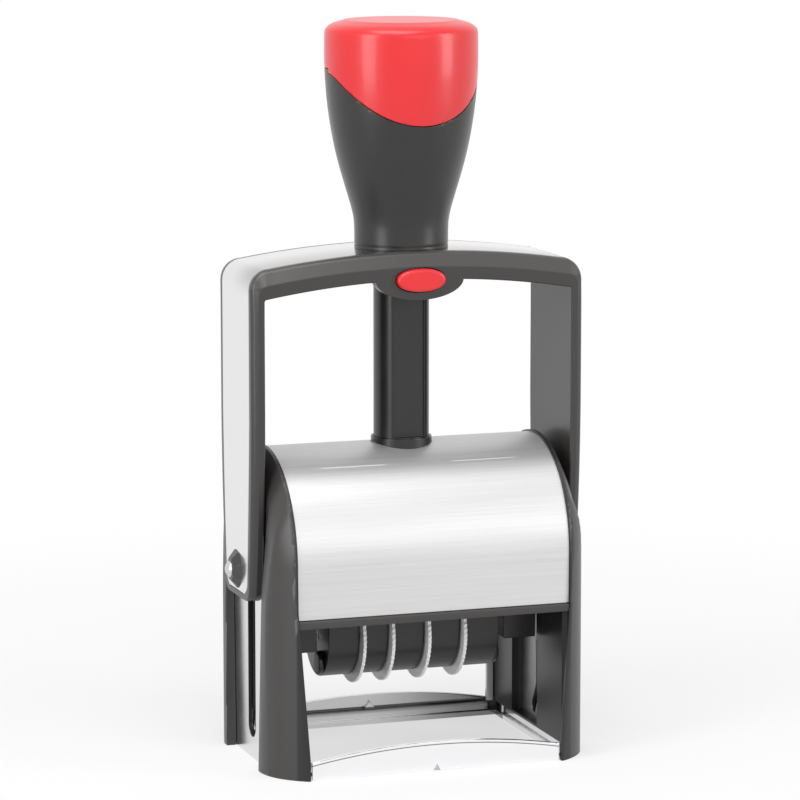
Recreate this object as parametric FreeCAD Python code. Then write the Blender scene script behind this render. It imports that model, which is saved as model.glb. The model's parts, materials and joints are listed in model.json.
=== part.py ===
import FreeCAD, Part
import math
import os
from FreeCAD import Vector

# Self-inking date stamp. Millimetres, +Z up, +X to the user's right, the user at -Y.
# Origin: on the table, under the middle of the base.

# ---------------------------------------------------------------- driving dimensions
# base frame
window_half_width = 30.3
window_half_depth = 21.3
base_thickness = 1.2
curb_height = 3.2
curb_inset = 0.8
bar_half_width = 28.8
bar_outer_y = 24.8
bar_thickness = 1.2
bar_end_height = 3.9
bar_middle_height = 6.6
side_rail_outer_x = 32.8

# side plates, cam plates and axle travel
press_travel = 33.8
die_reach = 9.2
floor_gap = 0.2
plate_thickness = 1.0
plate_outer_x = 35.1
plate_half_depth = 16.0
plate_top_z = 52.0
slot_half_width = 2.85
slot_spare = 1.8
bush_clearance = 0.1
cam_pin_orbit = 4.5
cam_pin_radius = 1.2
cam_pin_clearance = 0.3
cam_pin_angle = math.radians(-138.6)
axle_pin_radius = 1.7
axle_pin_clearance = 0.05
axle_slot_clearance = 0.4

# side housings with their legs
wall_inner_x = 30.3
arch_inner_x = 31.5
arch_outer_x = 35.1
arch_margin = 0.4
leg_outer_x = 37.4
leg_waist_x = 36.9
leg_waist_z = 38.0
leg_fade_z = 64.0
leg_foot_y = 25.2
leg_inner_foot_x = 28.9
leg_corner_x = 30.5
leg_side_y = 14.2
leg_corner_bulge = 0.62
flange_thickness = 1.3
gap_foot_y = 12.3
gap_top_y = 13.7
inspection_front_y = -6.5
inspection_rear_y = 10.0
inspection_bottom_z = 3.8
inspection_top_z = 23.5
rail_width = 1.0
rail_height = 1.3
rail_half_length = 18.0

# cover
cover_radius = 23.2
cover_axis_z = 46.9
cover_thickness = 0.8
cover_front_z = 35.4
cover_rear_angle = 41.0

# cross bars
lip_top_z = 35.3
lip_bottom_z = 33.5
lip_front_y = -23.8
lip_inner_y = -21.2
rear_bar_bottom_z = 38.6
rear_bar_top_z = 47.4

# guide column, bridge and return spring
column_radius = 6.2
column_bore = 3.9
column_top_z = 118.0
column_groove_half = 3.7
column_groove_floor = 4.5
column_groove_lift = 0.2
column_clearance = 0.06
column_foot_radius = 9.0
column_foot_thickness = 2.0
column_floor_height = 6.5
collar_wall = 0.6
collar_height = 4.7
bridge_clearance = 2.0
bridge_thickness = 1.5
bridge_half_depth = 12.0
screw_radius = 2.0
screw_head_radius = 3.5
screw_head_height = 1.5
spring_wire = 0.9
spring_radius = 3.1
spring_turns = 13

# bow
bow_inner_x = 35.5
bow_plastic_x = 37.75
band_inlay_gap = 0.05
band_thickness = 0.7
bow_top_z = 113.7
bow_top_radius = 217.0
bow_inner_top_z = 107.6
bow_inner_radius = 203.0
bow_foot_drop = 6.0
bow_inner_corner_radius = 0.5
bow_half_depth = 13.2
bow_foot_half_depth = 9.9
bow_waist_z = 60.0
bow_waist_half_depth = 12.0
bow_taper_z = 78.0
bow_corner_radius = 4.6
band_margin = 3.0
band_foot_drop = 4.8
band_foot_margin = 2.2
hub_window_radius = 4.3
hub_radius = 4.1
hub_height = 2.25
hub_tip_radius = 2.6
pin_tip_radius = 1.9
pin_tip_height = 1.1

# lock button and its boss
button_width = 11.1
button_height = 5.1
button_z = 107.6
button_face_y = -14.7
button_thickness = 1.6
button_well_spare = 0.8
button_travel = 2.0
button_clearance = 0.3
button_stem_half = 2.7
button_stem_half_height = 1.4
boss_half_width = 10.8
boss_half_height = 4.5
boss_front_y = -13.3
boss_rear_y = -9.6

# knob
knob_saddle_depth = 0.4
knob_bottom_radius = 10.4
knob_radius = 17.0
knob_top_z = 163.75
knob_edge_radius = 3.9
cap_wall = 1.8
cap_front_z = 141.5
cap_front_radius = 18.5
cap_rear_z = 153.4
knob_bore_clearance = 0.7
knob_bore_top_z = 154.5
knob_screw_radius = 1.0
knob_screw_wall = 0.7

# die carrier
imprint_half_width = 28.5
imprint_half_depth = 18.0
rubber_thickness = 2.3
text_plate_thickness = 1.5
deck_thickness = 2.0
carrier_half_width = 29.6
end_block_width = 7.6
end_block_half_depth = 7.0
end_block_drop = 18.7
deck_opening_half_depth = 4.4
die_border = 1.4
die_relief = 0.6

# date wheels, bands and their housing
wheel_axis_drop = 16.2
wheel_ring_radius = 11.3
wheel_ring_thickness = 0.75
wheel_tooth_depth = 0.3
wheel_tooth_count = 60
first_ring_x = -12.15
band_widths = (5.7, 7.4, 7.4, 4.5)
wheel_gap = 0.3
wheel_hub_radius = 6.1
wheel_axle_radius = 1.5
wheel_axle_clearance = 0.05
date_band_thickness = 1.0
date_band_gap = 0.3
bridge_bar_radius = 2.1
drum_radius = 9.3
drum_wall = 0.8
drum_half_width = 20.0
drum_end_wall = 1.5
drum_slot_clearance = 0.4
drum_stud_radius = 2.7
drum_stud_height = 1.2
drum_stud_drop = 5.7
drum_stud_y = -3.4

# ink pad and its tray
pad_lift = 2.8
pad_thickness = 2.8
pad_half_width = 28.7
pad_half_depth = 18.2
tray_thickness = 3.0
tray_clearance = 0.3
tray_half_width = 30.0
tray_front_y = 18.8
tray_front_top_y = 16.2
fascia_thickness = 0.9
fascia_rib_thickness = 0.7
fascia_clearance = 0.25
fascia_bottom_angle = 2.5
tray_grip_half_width = 12.0
tray_grip_depth = 1.4

# small fasteners
rivet_radius = 0.6
rivet_head_radius = 1.0
rivet_head_height = 0.5
rivet_head_clearance = 0.1
base_screw_x = 31.6
base_screw_y = 18.5
base_screw_radius = 0.8
base_screw_head_radius = 1.15
base_screw_depth = 5.5
carrier_screw_radius = 0.9
carrier_screw_depth = 6.0

# ---------------------------------------------------------------- values worked out
axle_height = floor_gap + die_reach + press_travel
die_face_z = axle_height + die_reach
pad_bottom_z = die_face_z + pad_lift
wheel_axis_z = axle_height - wheel_axis_drop
end_block_bottom_z = axle_height - end_block_drop
bow_bottom_z = axle_height - bow_foot_drop
band_bottom_z = axle_height - band_foot_drop
text_plate_z = die_face_z - rubber_thickness
deck_top_z = text_plate_z - text_plate_thickness
deck_bottom_z = deck_top_z - deck_thickness
plate_inner_x = plate_outer_x - plate_thickness
cam_outer_x = plate_inner_x - 0.1
cam_inner_x = cam_outer_x - plate_thickness
slot_bottom_z = axle_height - press_travel - slot_half_width - slot_spare
arch_radius = cover_radius + arch_margin
cover_inner_radius = cover_radius - cover_thickness
pad_top_z = pad_bottom_z + pad_thickness
tray_top_z = pad_top_z + tray_thickness
bridge_bottom_z = tray_top_z + bridge_clearance
bridge_top_z = bridge_bottom_z + bridge_thickness
column_foot_top_z = bridge_top_z + column_foot_thickness
column_solid_z = bridge_top_z + column_floor_height
collar_top_z = column_foot_top_z + collar_height
column_groove_bottom_z = collar_top_z + column_groove_lift
knob_bore = column_radius + knob_bore_clearance
knob_screw_x = knob_bore + knob_screw_wall + knob_screw_radius
band_outer_x = bow_plastic_x + band_thickness
button_well_y = button_face_y + button_thickness + button_travel + button_well_spare
knob_seat_z = bow_top_z - knob_saddle_depth
knob_shoulder_z = knob_top_z - knob_edge_radius


# ---------------------------------------------------------------- drawing helpers
def save(name, shape):
    """Write one piece, checked, under its name."""
    solids = shape.Solids
    if not solids or not all(solid.isValid() for solid in solids):
        raise ValueError("piece " + name + " is not a sound solid")
    kept = solids[0] if len(solids) == 1 else Part.makeCompound(solids)
    kept.exportStep("parts/" + name + ".step")


def box(x, y, z):
    """A block between pairs of limits along X, Y and Z."""
    return Part.makeBox(x[1] - x[0], y[1] - y[0], z[1] - z[0], Vector(x[0], y[0], z[0]))


def rod_x(radius, x, y, z):
    """A round bar along X between two limits."""
    return Part.makeCylinder(radius, x[1] - x[0], Vector(x[0], y, z), Vector(1, 0, 0))


def rod_z(radius, z, x=0.0, y=0.0):
    """A round bar along Z between two limits."""
    return Part.makeCylinder(radius, z[1] - z[0], Vector(x, y, z[0]))


def in_xy(u, v):
    return Vector(u, v, 0)


def in_xz(u, v):
    return Vector(u, 0, v)


def in_yz(u, v):
    return Vector(0, u, v)


def face(plane, start, steps):
    """A flat face. A step of one point is a straight side, of two an arc through the first."""
    edges = []
    here = plane(*start)
    for step in steps:
        if len(step) == 2 and isinstance(step[0], tuple):
            middle, end = plane(*step[0]), plane(*step[1])
            edges.append(Part.Arc(here, middle, end).toShape())
        else:
            end = plane(*step)
            edges.append(Part.LineSegment(here, end).toShape())
        here = end
    return Part.Face(Part.Wire(edges))


def prism(flat, low, high, direction):
    """Extrude a face between two distances along an axis."""
    moved = flat.copy()
    moved.translate(direction * low)
    return moved.extrude(direction * (high - low))


def prism_x(start, steps, low, high):
    return prism(face(in_yz, start, steps), low, high, Vector(1, 0, 0))


def prism_y(start, steps, low, high):
    return prism(face(in_xz, start, steps), low, high, Vector(0, 1, 0))


def prism_z(start, steps, low, high):
    return prism(face(in_xy, start, steps), low, high, Vector(0, 0, 1))


def mirrored(shape):
    """The same piece for the other side."""
    return shape.mirror(Vector(0, 0, 0), Vector(1, 0, 0))


def revolve_z(start, steps):
    """Turn a profile of radius and height about the Z axis."""
    return face(in_xz, start, steps).revolve(Vector(0, 0, 0), Vector(0, 0, 1), 360)


def barrel(radius, x):
    """The round body that the cover follows."""
    return rod_x(radius, x, 0, cover_axis_z)


def arc_z(radius, top, x):
    """Height of an arch of this radius and crown height, at a distance from its middle."""
    return top - radius + math.sqrt(radius ** 2 - x ** 2)


# ---------------------------------------------------------------- base
def base_frame():
    """Pressed steel base: window ring, curb, two arched bars and rear uprights."""
    ring = box((-side_rail_outer_x, side_rail_outer_x), (-bar_outer_y + 2.4, bar_outer_y - 2.4),
               (0, base_thickness))
    ring = ring.fuse(box((-bar_half_width, bar_half_width), (-bar_outer_y, bar_outer_y),
                         (0, base_thickness)))
    curb_y = window_half_depth + curb_inset
    bar_inner_y = bar_outer_y - bar_thickness
    curb = box((-bar_half_width, bar_half_width), (curb_y, bar_inner_y), (0, curb_height))
    curb = curb.fuse(box((-bar_half_width, bar_half_width), (-bar_inner_y, -curb_y), (0, curb_height)))
    for side in (-1, 1):
        rail_x = sorted((side * (window_half_width + curb_inset), side * side_rail_outer_x))
        curb = curb.fuse(box(rail_x, (-curb_y, curb_y), (0, curb_height)))
    bar = face(in_xz, (-bar_half_width, 0), [
        (bar_half_width, 0), (bar_half_width, bar_end_height),
        ((0, bar_middle_height), (-bar_half_width, bar_end_height)), (-bar_half_width, 0)])
    bars = prism(bar, bar_inner_y, bar_outer_y, Vector(0, 1, 0))
    bars = bars.fuse(prism(bar, -bar_outer_y, -bar_inner_y, Vector(0, 1, 0)))
    shape = ring.fuse(curb).fuse(bars)
    window = box((-window_half_width, window_half_width), (-window_half_depth, window_half_depth),
                 (-1, base_thickness + 9))
    shape = shape.cut(window)
    mark = prism_y((-1.1, -0.5), [(1.1, -0.5), (0, 1.5), (-1.1, -0.5)],
                   -bar_outer_y - 1, -bar_outer_y + 0.5)
    shape = shape.cut(mark)
    for x, y in base_screw_places():
        shape = shape.cut(base_screw(x, y))
    pointer = prism_y((-1.5, curb_height), [(1.5, curb_height), (0, curb_height + 2.0),
                                            (-1.5, curb_height)], curb_y + 0.3, bar_inner_y)
    return shape.fuse(pointer).removeSplitter()


def rear_post():
    """Bright upright between the base and the rear cross bar, one at each rear corner."""
    post = box((bar_half_width - 0.2, wall_inner_x - 0.1), (22.3, 23.2),
               (curb_height, rear_bar_bottom_z))
    return post


# ---------------------------------------------------------------- side walls
def pin_path(turn):
    """Place of the cam pin, in Y and Z, when the carrier has turned by this angle."""
    lowered = axle_height - press_travel * turn / math.pi
    angle = cam_pin_angle + turn
    return cam_pin_orbit * math.sin(angle), lowered - cam_pin_orbit * math.cos(angle)


def cam_slot(width, x):
    """The curved slot that the cam pin runs in, as an offset curve with round ends."""
    steps = 12
    left, right = [], []
    for index in range(steps + 1):
        turn = math.pi * index / steps
        y, z = pin_path(turn)
        y_next, z_next = pin_path(turn + 0.01)
        length = math.hypot(y_next - y, z_next - z)
        along = ((y_next - y) / length, (z_next - z) / length)
        left.append(Vector(0, y - along[1] * width, z + along[0] * width))
        right.append(Vector(0, y + along[1] * width, z - along[0] * width))
    right.reverse()

    def side(points):
        curve = Part.BSplineCurve()
        curve.interpolate(points)
        return curve.toShape()

    ends = [Part.LineSegment(left[-1], right[0]).toShape(), Part.LineSegment(right[-1], left[0]).toShape()]
    middle = Part.Face(Part.Wire([side(left), ends[0], side(right), ends[1]]))
    slot = prism(middle, x[0], x[1], Vector(1, 0, 0))
    for turn in (0.0, math.pi):
        y, z = pin_path(turn)
        slot = slot.fuse(rod_x(width, x, y, z))
    return slot


def straight_slot(half_width, low_z, high_z, x):
    """A vertical slot with round ends, between the lowest and highest places of its axle."""
    slot = box(x, (-half_width, half_width), (low_z, high_z))
    return slot.fuse(rod_x(half_width, x, 0, low_z)).fuse(rod_x(half_width, x, 0, high_z))


def side_plate():
    """Bright outer plate with the straight slot of the axle."""
    plate = box((plate_inner_x, plate_outer_x), (-plate_half_depth, plate_half_depth), (0, plate_top_z))
    slot = straight_slot(slot_half_width, slot_bottom_z + slot_half_width, axle_height,
                         (plate_inner_x - 1, plate_outer_x + 1))
    plate = plate.cut(slot)
    for y, z in rivet_places():
        plate = plate.cut(rod_x(rivet_radius, (plate_inner_x - 1, plate_outer_x + 1), y, z))
    return plate


def cam_plate():
    """Inner plate: the axle's slot joined with the curved slot that turns the carrier."""
    plate = box((cam_inner_x, cam_outer_x), (-plate_half_depth, plate_half_depth),
                (curb_height, plate_top_z))
    span = (cam_inner_x - 1, cam_outer_x + 1)
    axle_way = straight_slot(axle_pin_radius + axle_slot_clearance, axle_height - press_travel,
                             axle_height, span)
    plate = plate.cut(axle_way.fuse(cam_slot(cam_pin_radius + cam_pin_clearance, span)))
    for y, z in rivet_places():
        plate = plate.cut(rod_x(rivet_radius, span, y, z))
    return plate


def rivet_places():
    """Rivets that join the two plates to the housing, hidden behind the legs."""
    y = plate_half_depth - rivet_head_radius - 0.1
    return [(side * y, z) for side in (-1, 1) for z in (8.0, plate_top_z - 5.0)]


def base_screw_places():
    """Screws through the base rails, two on each side."""
    return [(across * base_screw_x, along * base_screw_y) for across in (-1, 1) for along in (-1, 1)]


def base_screw(x, y):
    """One countersunk screw, head down."""
    head = Part.makeCone(base_screw_head_radius, base_screw_radius,
                         base_screw_head_radius - base_screw_radius, Vector(x, y, 0.2))
    return head.fuse(rod_z(base_screw_radius, (0.3, curb_height + base_screw_depth), x, y))


def side_rivets():
    """Four rivets through one side's plates, with their heads inside the leg."""
    group = []
    for y, z in rivet_places():
        shank = rod_x(rivet_radius, (cam_inner_x - 2.0, plate_outer_x), y, z)
        head = rod_x(rivet_head_radius, (plate_outer_x, plate_outer_x + rivet_head_height), y, z)
        group.append(shank.fuse(head))
    return group


def side_outline(depth_at_foot, radius, bottom):
    """Arched side profile in Y and Z: a half round on two legs that spread to the foot."""
    return ((-depth_at_foot, bottom), [
        (depth_at_foot, bottom), (radius, cover_axis_z),
        ((0, cover_axis_z + radius), (-radius, cover_axis_z)), (-depth_at_foot, bottom)])


def leg_plan():
    """Plan of a side housing in X and Y: inner edge, big rounded corners, flat outer side."""
    x_mid = leg_corner_x + leg_corner_bulge * (leg_outer_x - leg_corner_x)
    y_mid = leg_side_y + leg_corner_bulge * (leg_foot_y - leg_side_y)
    return ((leg_inner_foot_x - 1, -leg_foot_y), [
        (leg_corner_x, -leg_foot_y),
        ((x_mid, -y_mid), (leg_outer_x, -leg_side_y)),
        (leg_outer_x, leg_side_y),
        ((x_mid, y_mid), (leg_corner_x, leg_foot_y)),
        (leg_inner_foot_x - 1, leg_foot_y),
        (leg_inner_foot_x - 1, -leg_foot_y)])


def side_housing():
    """Dark moulded side: arch beside the cover, front and rear leg, inner wall and rail."""
    crown = cover_axis_z + arch_radius
    front_view = ((leg_inner_foot_x, 0), [
        (leg_outer_x, 0), (leg_waist_x, leg_waist_z), (arch_outer_x, leg_fade_z),
        (arch_outer_x, crown + 1), (arch_inner_x, crown + 1), (arch_inner_x, 37.3),
        (leg_inner_foot_x, 0)])
    side_view = side_outline(leg_foot_y, arch_radius, 0)
    shell = prism_y(*front_view, -30, 30)
    shell = shell.common(prism_x(*side_view, 20, 45))
    shell = shell.common(prism_z(*leg_plan(), -1, crown + 2))
    hollow = box((leg_inner_foot_x - 2, arch_inner_x), (-leg_foot_y + flange_thickness,
                 leg_foot_y - flange_thickness), (-1, crown))
    shell = shell.cut(hollow)
    wall_radius = cover_inner_radius - arch_margin
    inner = prism_x(*side_outline(wall_radius, wall_radius, curb_height + 0.1),
                    wall_inner_x, arch_inner_x + 0.1)
    shape = shell.fuse(inner)
    gap = prism_x((-gap_foot_y, -1), [
        (gap_foot_y, -1), (gap_top_y, cover_axis_z), (gap_top_y, crown + 1), (-gap_top_y, crown + 1),
        (-gap_top_y, cover_axis_z), (-gap_foot_y, -1)], arch_outer_x, leg_outer_x + 1)
    pocket = box((cam_inner_x - 0.1, arch_outer_x + 0.1), (-plate_half_depth - 0.1, plate_half_depth + 0.1),
                 (-1, plate_top_z + 0.1))
    rails = box((0, side_rail_outer_x + 0.1), (-bar_outer_y + 2.3, bar_outer_y - 2.3), (-1, curb_height))
    flange_room = box((0, bar_half_width + 0.4), (-30, 30), (-1, bar_end_height + 2))
    window = box((wall_inner_x - 2, cam_inner_x + 1), (inspection_front_y, inspection_rear_y),
                 (inspection_bottom_z, inspection_top_z))
    reach = cam_pin_orbit + cam_pin_radius + cam_pin_clearance
    pin_way = box((wall_inner_x - 2, cam_inner_x + 1), (-reach, reach),
                  (inspection_bottom_z, axle_height + reach + 0.5))
    shape = shape.cut(gap).cut(pocket).cut(rails).cut(window).cut(pin_way).cut(flange_room)
    for y, z in rivet_places():
        shape = shape.cut(rod_x(rivet_radius, (cam_inner_x - 2.0, cam_inner_x + 1), y, z))
        head_x = (plate_outer_x, plate_outer_x + rivet_head_height + rivet_head_clearance)
        shape = shape.cut(rod_x(rivet_head_radius + rivet_head_clearance, head_x, y, z))
    bridge_seat = box((0, arch_inner_x), (-bridge_half_depth, bridge_half_depth),
                      (bridge_bottom_z, bridge_top_z))
    shape = shape.cut(bridge_seat)
    rail_top = pad_top_z - tray_clearance
    rail = box((wall_inner_x - rail_width, wall_inner_x + 0.1), (-rail_half_length, rail_half_length),
               (rail_top - rail_height, rail_top))
    shape = shape.fuse(rail)
    for x, y in base_screw_places():
        shape = shape.cut(rod_z(base_screw_radius, (0, curb_height + base_screw_depth), x, y))
    return shape.removeSplitter()


def base_screws():
    """Four countersunk screws from below, through the base rails into the housings."""
    return [base_screw(x, y) for x, y in base_screw_places()]


# ---------------------------------------------------------------- cover and cross bars
def sector(outer, inner, low_angle, high_angle, x):
    """A curved strip of the barrel between two angles, counted up from the rear."""
    def at(radius, angle):
        turn = math.radians(angle)
        return radius * math.cos(turn), cover_axis_z + radius * math.sin(turn)

    middle = (low_angle + high_angle) / 2
    return prism_x(at(outer, low_angle), [
        (at(outer, middle), at(outer, high_angle)), at(inner, high_angle),
        (at(inner, middle), at(inner, low_angle)), at(outer, low_angle)], x[0], x[1])


def cover():
    """Curved sheet of brushed steel: front skirt, crown, and a rear edge above the tray."""
    x = (-arch_inner_x, arch_inner_x)
    sheet = sector(cover_radius, cover_inner_radius, cover_rear_angle, 180, x)
    skirt = box(x, (-cover_radius, -cover_inner_radius), (cover_front_z, cover_axis_z))
    hole = rod_z(column_radius + collar_wall, (cover_axis_z, cover_axis_z + 2 * cover_radius))
    return sheet.fuse(skirt).cut(hole).removeSplitter()


def front_crossbar():
    """Dark lip under the front edge of the cover, with a stiffening web inside."""
    seat_y = -cover_inner_radius + 0.1
    lip = box((-arch_inner_x, arch_inner_x), (lip_front_y, seat_y), (lip_bottom_z, lip_top_z))
    web = box((-wall_inner_x, wall_inner_x), (seat_y, lip_inner_y), (lip_bottom_z, lip_top_z))
    return lip.fuse(web).removeSplitter()


def rear_crossbar():
    """Dark bar across the back, between the rear legs and below the tray."""
    return box((-arch_inner_x, arch_inner_x), (cover_inner_radius - 0.1, cover_radius),
               (rear_bar_bottom_z, rear_bar_top_z))


# ---------------------------------------------------------------- column, bridge, spring
def bridge_plate():
    """Steel plate under the crown of the cover that carries the guide column."""
    plate = box((-arch_inner_x, arch_inner_x), (-bridge_half_depth, bridge_half_depth),
                (bridge_bottom_z, bridge_top_z))
    return plate.cut(rod_z(screw_radius, (bridge_bottom_z - 1, bridge_top_z + 1)))


def guide_column():
    """Hollow column with a flat-bottomed groove down its front."""
    column = rod_z(column_radius, (bridge_top_z, column_top_z))
    column = column.fuse(rod_z(column_foot_radius, (bridge_top_z, column_foot_top_z)))
    column = column.cut(rod_z(column_bore, (column_solid_z, column_top_z + 1)))
    column = column.cut(rod_z(screw_radius, (bridge_top_z - 1, column_solid_z - 2)))
    groove = box((-column_groove_half, column_groove_half), (-column_radius - 1, -column_groove_floor),
                 (column_groove_bottom_z, column_top_z + 1))
    return column.cut(groove).removeSplitter()


def column_collar():
    """Thin ring around the column where it leaves the cover."""
    outer = column_radius + collar_wall
    ring = rod_z(outer, (column_foot_top_z, collar_top_z)).cut(
        rod_z(column_radius, (column_foot_top_z - 1, collar_top_z + 1)))
    return ring


def column_screw():
    """Screw from below that holds the column to the bridge."""
    head = rod_z(screw_head_radius, (bridge_bottom_z - screw_head_height, bridge_bottom_z))
    shank = rod_z(screw_radius, (bridge_bottom_z, column_solid_z - 2.2))
    slot = box((-screw_head_radius, screw_head_radius), (-0.45, 0.45),
               (bridge_bottom_z - screw_head_height - 1, bridge_bottom_z - screw_head_height + 0.7))
    return head.fuse(shank).cut(slot).removeSplitter()


def return_spring():
    """Compression spring from the floor of the column to the top of the knob's bore."""
    low = column_solid_z + spring_wire / 2 + 0.05
    high = knob_bore_top_z - spring_wire / 2 - 0.05
    pitch = (high - low) / spring_turns
    helix = Part.makeLongHelix(pitch, high - low, spring_radius)
    helix.translate(Vector(0, 0, low))
    start = Vector(spring_radius, 0, low)
    section = Part.Wire(Part.makeCircle(spring_wire / 2, start, Vector(0, 1, 0)))
    return Part.Wire(helix.Edges).makePipeShell([section], True, True)


# ---------------------------------------------------------------- bow
def half_depth_outline(margin, foot_margin, bottom):
    """Side profile of the bow in Y and Z: full depth above, curving in towards the foot."""
    foot = bow_foot_half_depth - foot_margin
    waist = bow_waist_half_depth - margin
    full = bow_half_depth - margin
    top = bow_top_z + 5
    return ((-foot, bottom), [
        (foot, bottom), ((waist, bow_waist_z), (full, bow_taper_z)), (full, top), (-full, top),
        (-full, bow_taper_z), ((-waist, bow_waist_z), (-foot, bottom))])


def arch_region(half_width, top, radius, corner, bottom):
    """Front profile of the bow in X and Z: two straight sides, round corners, arched top."""
    shoulder = arc_z(radius, top, half_width - corner)
    lower = shoulder - corner
    mid = corner * (1 - math.sqrt(0.5))
    return ((-half_width, bottom), [
        (half_width, bottom), (half_width, lower),
        ((half_width - mid, shoulder - mid), (half_width - corner, shoulder)),
        ((0, top), (-half_width + corner, shoulder)),
        ((-half_width + mid, shoulder - mid), (-half_width, lower)),
        (-half_width, bottom)])


def outer_arch(inset, bottom):
    """The bow's outer shape in X and Z, inset from the band's outer face."""
    return prism_y(*arch_region(band_outer_x - inset, bow_top_z - inset, bow_top_radius - inset,
                                bow_corner_radius - inset, bottom), -20, 20)


def axle_hub(side):
    """Boss around the axle: round through the band's window, then a cone to the pin's end."""
    seat_x = bow_plastic_x - 0.5
    x = sorted((side * seat_x, side * band_outer_x))
    cone = Part.makeCone(hub_radius, hub_tip_radius, bow_plastic_x + hub_height - band_outer_x,
                         Vector(side * band_outer_x, 0, axle_height), Vector(side, 0, 0))
    return rod_x(hub_radius, x, 0, axle_height).fuse(cone)


def bow_frame():
    """Dark moulded bow: top bar, two arms, axle hubs, button boss and column guide."""
    body = outer_arch(band_inlay_gap, bow_bottom_z)
    body = body.common(prism_x(*half_depth_outline(0, 0, bow_bottom_z), -45, 45))
    inlay = outer_arch(-1, band_bottom_z - band_inlay_gap).cut(outer_arch(band_thickness, bow_bottom_z))
    inlay = inlay.common(prism_x(*half_depth_outline(band_margin - band_inlay_gap,
                                                     band_foot_margin - band_inlay_gap,
                                                     band_bottom_z - band_inlay_gap), -45, 45))
    body = body.cut(inlay)
    inside = prism_y(*arch_region(bow_inner_x, bow_inner_top_z, bow_inner_radius,
                                  bow_inner_corner_radius, bow_bottom_z - 5), -20, 20)
    body = body.cut(inside)
    boss = Part.makeCylinder(1.0, boss_rear_y - boss_front_y, Vector(0, boss_front_y, 0), Vector(0, 1, 0))
    stretch = FreeCAD.Matrix()
    stretch.scale(boss_half_width, 1.0, boss_half_height)
    boss = boss.transformGeometry(stretch)
    boss.translate(Vector(0, 0, button_z))
    body = body.fuse(boss)
    for side in (-1, 1):
        body = body.fuse(axle_hub(side))
        bore = sorted((side * (bow_inner_x - 1), side * (band_outer_x + 3)))
        body = body.cut(rod_x(axle_pin_radius, bore, 0, axle_height))
        bush_seat = sorted((side * (bow_inner_x - 1), side * (bow_inner_x + 0.5)))
        body = body.cut(rod_x(bush_radius(), bush_seat, 0, axle_height))
    body = body.cut(rod_z(column_radius + column_clearance, (bow_bottom_z, bow_top_z + 5)))
    body = body.cut(oval(button_width + 2 * button_clearance, button_height + 2 * button_clearance,
                         (boss_front_y - 1, button_well_y)))
    body = body.cut(button_stem(button_clearance, (boss_front_y, 0)))
    for side in (-1, 1):
        body = body.cut(rod_z(knob_screw_radius, (bow_bottom_z, bow_top_z + 5), side * knob_screw_x))
        body = body.cut(rod_z(2 * knob_screw_radius, (bow_bottom_z, bow_inner_top_z + 1.6),
                              side * knob_screw_x))
    return body.removeSplitter()


def bow_band():
    """Chromed strip bent over the outside of the bow."""
    strip = outer_arch(0, band_bottom_z).cut(outer_arch(band_thickness, band_bottom_z - 5))
    strip = strip.common(prism_x(*half_depth_outline(band_margin, band_foot_margin, band_bottom_z),
                                 -45, 45))
    strip = strip.cut(rod_z(column_radius + 0.3, (bow_inner_top_z, bow_top_z + 5)))
    for side in (-1, 1):
        strip = strip.cut(rod_z(knob_screw_radius, (bow_inner_top_z, bow_top_z + 5),
                                side * knob_screw_x))
    return strip.cut(rod_x(hub_window_radius, (-45, 45), 0, axle_height))


def bush_radius():
    return slot_half_width - bush_clearance


def axle_pin():
    """Steel stub axle: from the carrier, through both plates, to the outside of the bow."""
    tip_x = bow_plastic_x + hub_height
    inner_x = carrier_half_width - end_block_width + 1.6
    pin = rod_x(axle_pin_radius, (inner_x, tip_x + 0.1), 0, axle_height)
    dome_radius = (pin_tip_radius ** 2 + pin_tip_height ** 2) / (2 * pin_tip_height)
    dome = Part.makeSphere(dome_radius, Vector(tip_x + pin_tip_height - dome_radius, 0, axle_height))
    tip = rod_x(pin_tip_radius, (tip_x, tip_x + pin_tip_height), 0, axle_height).common(dome)
    return pin.fuse(tip).removeSplitter()


def axle_bush():
    """Plastic roller on the axle that rides in the side plate's slot."""
    x = (plate_inner_x, bow_inner_x + 0.5)
    return rod_x(bush_radius(), x, 0, axle_height).cut(rod_x(axle_pin_radius, (x[0] - 1, x[1] + 1), 0,
                                                           axle_height))


# ---------------------------------------------------------------- lock button
def oval(width, height, y):
    """A flat oval block facing the user, at the button's height."""
    disc = Part.makeCylinder(1.0, y[1] - y[0], Vector(0, y[0], 0), Vector(0, 1, 0))
    stretch = FreeCAD.Matrix()
    stretch.scale(width / 2, 1.0, height / 2)
    disc = disc.transformGeometry(stretch)
    disc.translate(Vector(0, 0, button_z))
    return disc


def button_stem(clearance, y):
    """The button's square stem, or the room for it in the bow when grown by a clearance."""
    half_width = button_stem_half + clearance
    half_height = button_stem_half_height + clearance
    return box((-half_width, half_width), y, (button_z - half_height, button_z + half_height))


def lock_button():
    """Red oval button with the stem that reaches for the column's groove."""
    head = oval(button_width, button_height, (button_face_y, button_face_y + button_thickness))
    tip_y = -column_groove_floor - button_travel - 0.4
    return head.fuse(button_stem(0, (button_face_y + 1, tip_y))).removeSplitter()


def button_spring():
    """Wave washer at the bottom of the button's well."""
    ring = oval(button_width - 0.6, button_height - 0.2, (button_well_y - 0.5, button_well_y))
    return ring.cut(button_stem(button_clearance, (boss_front_y, 0)))


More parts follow.
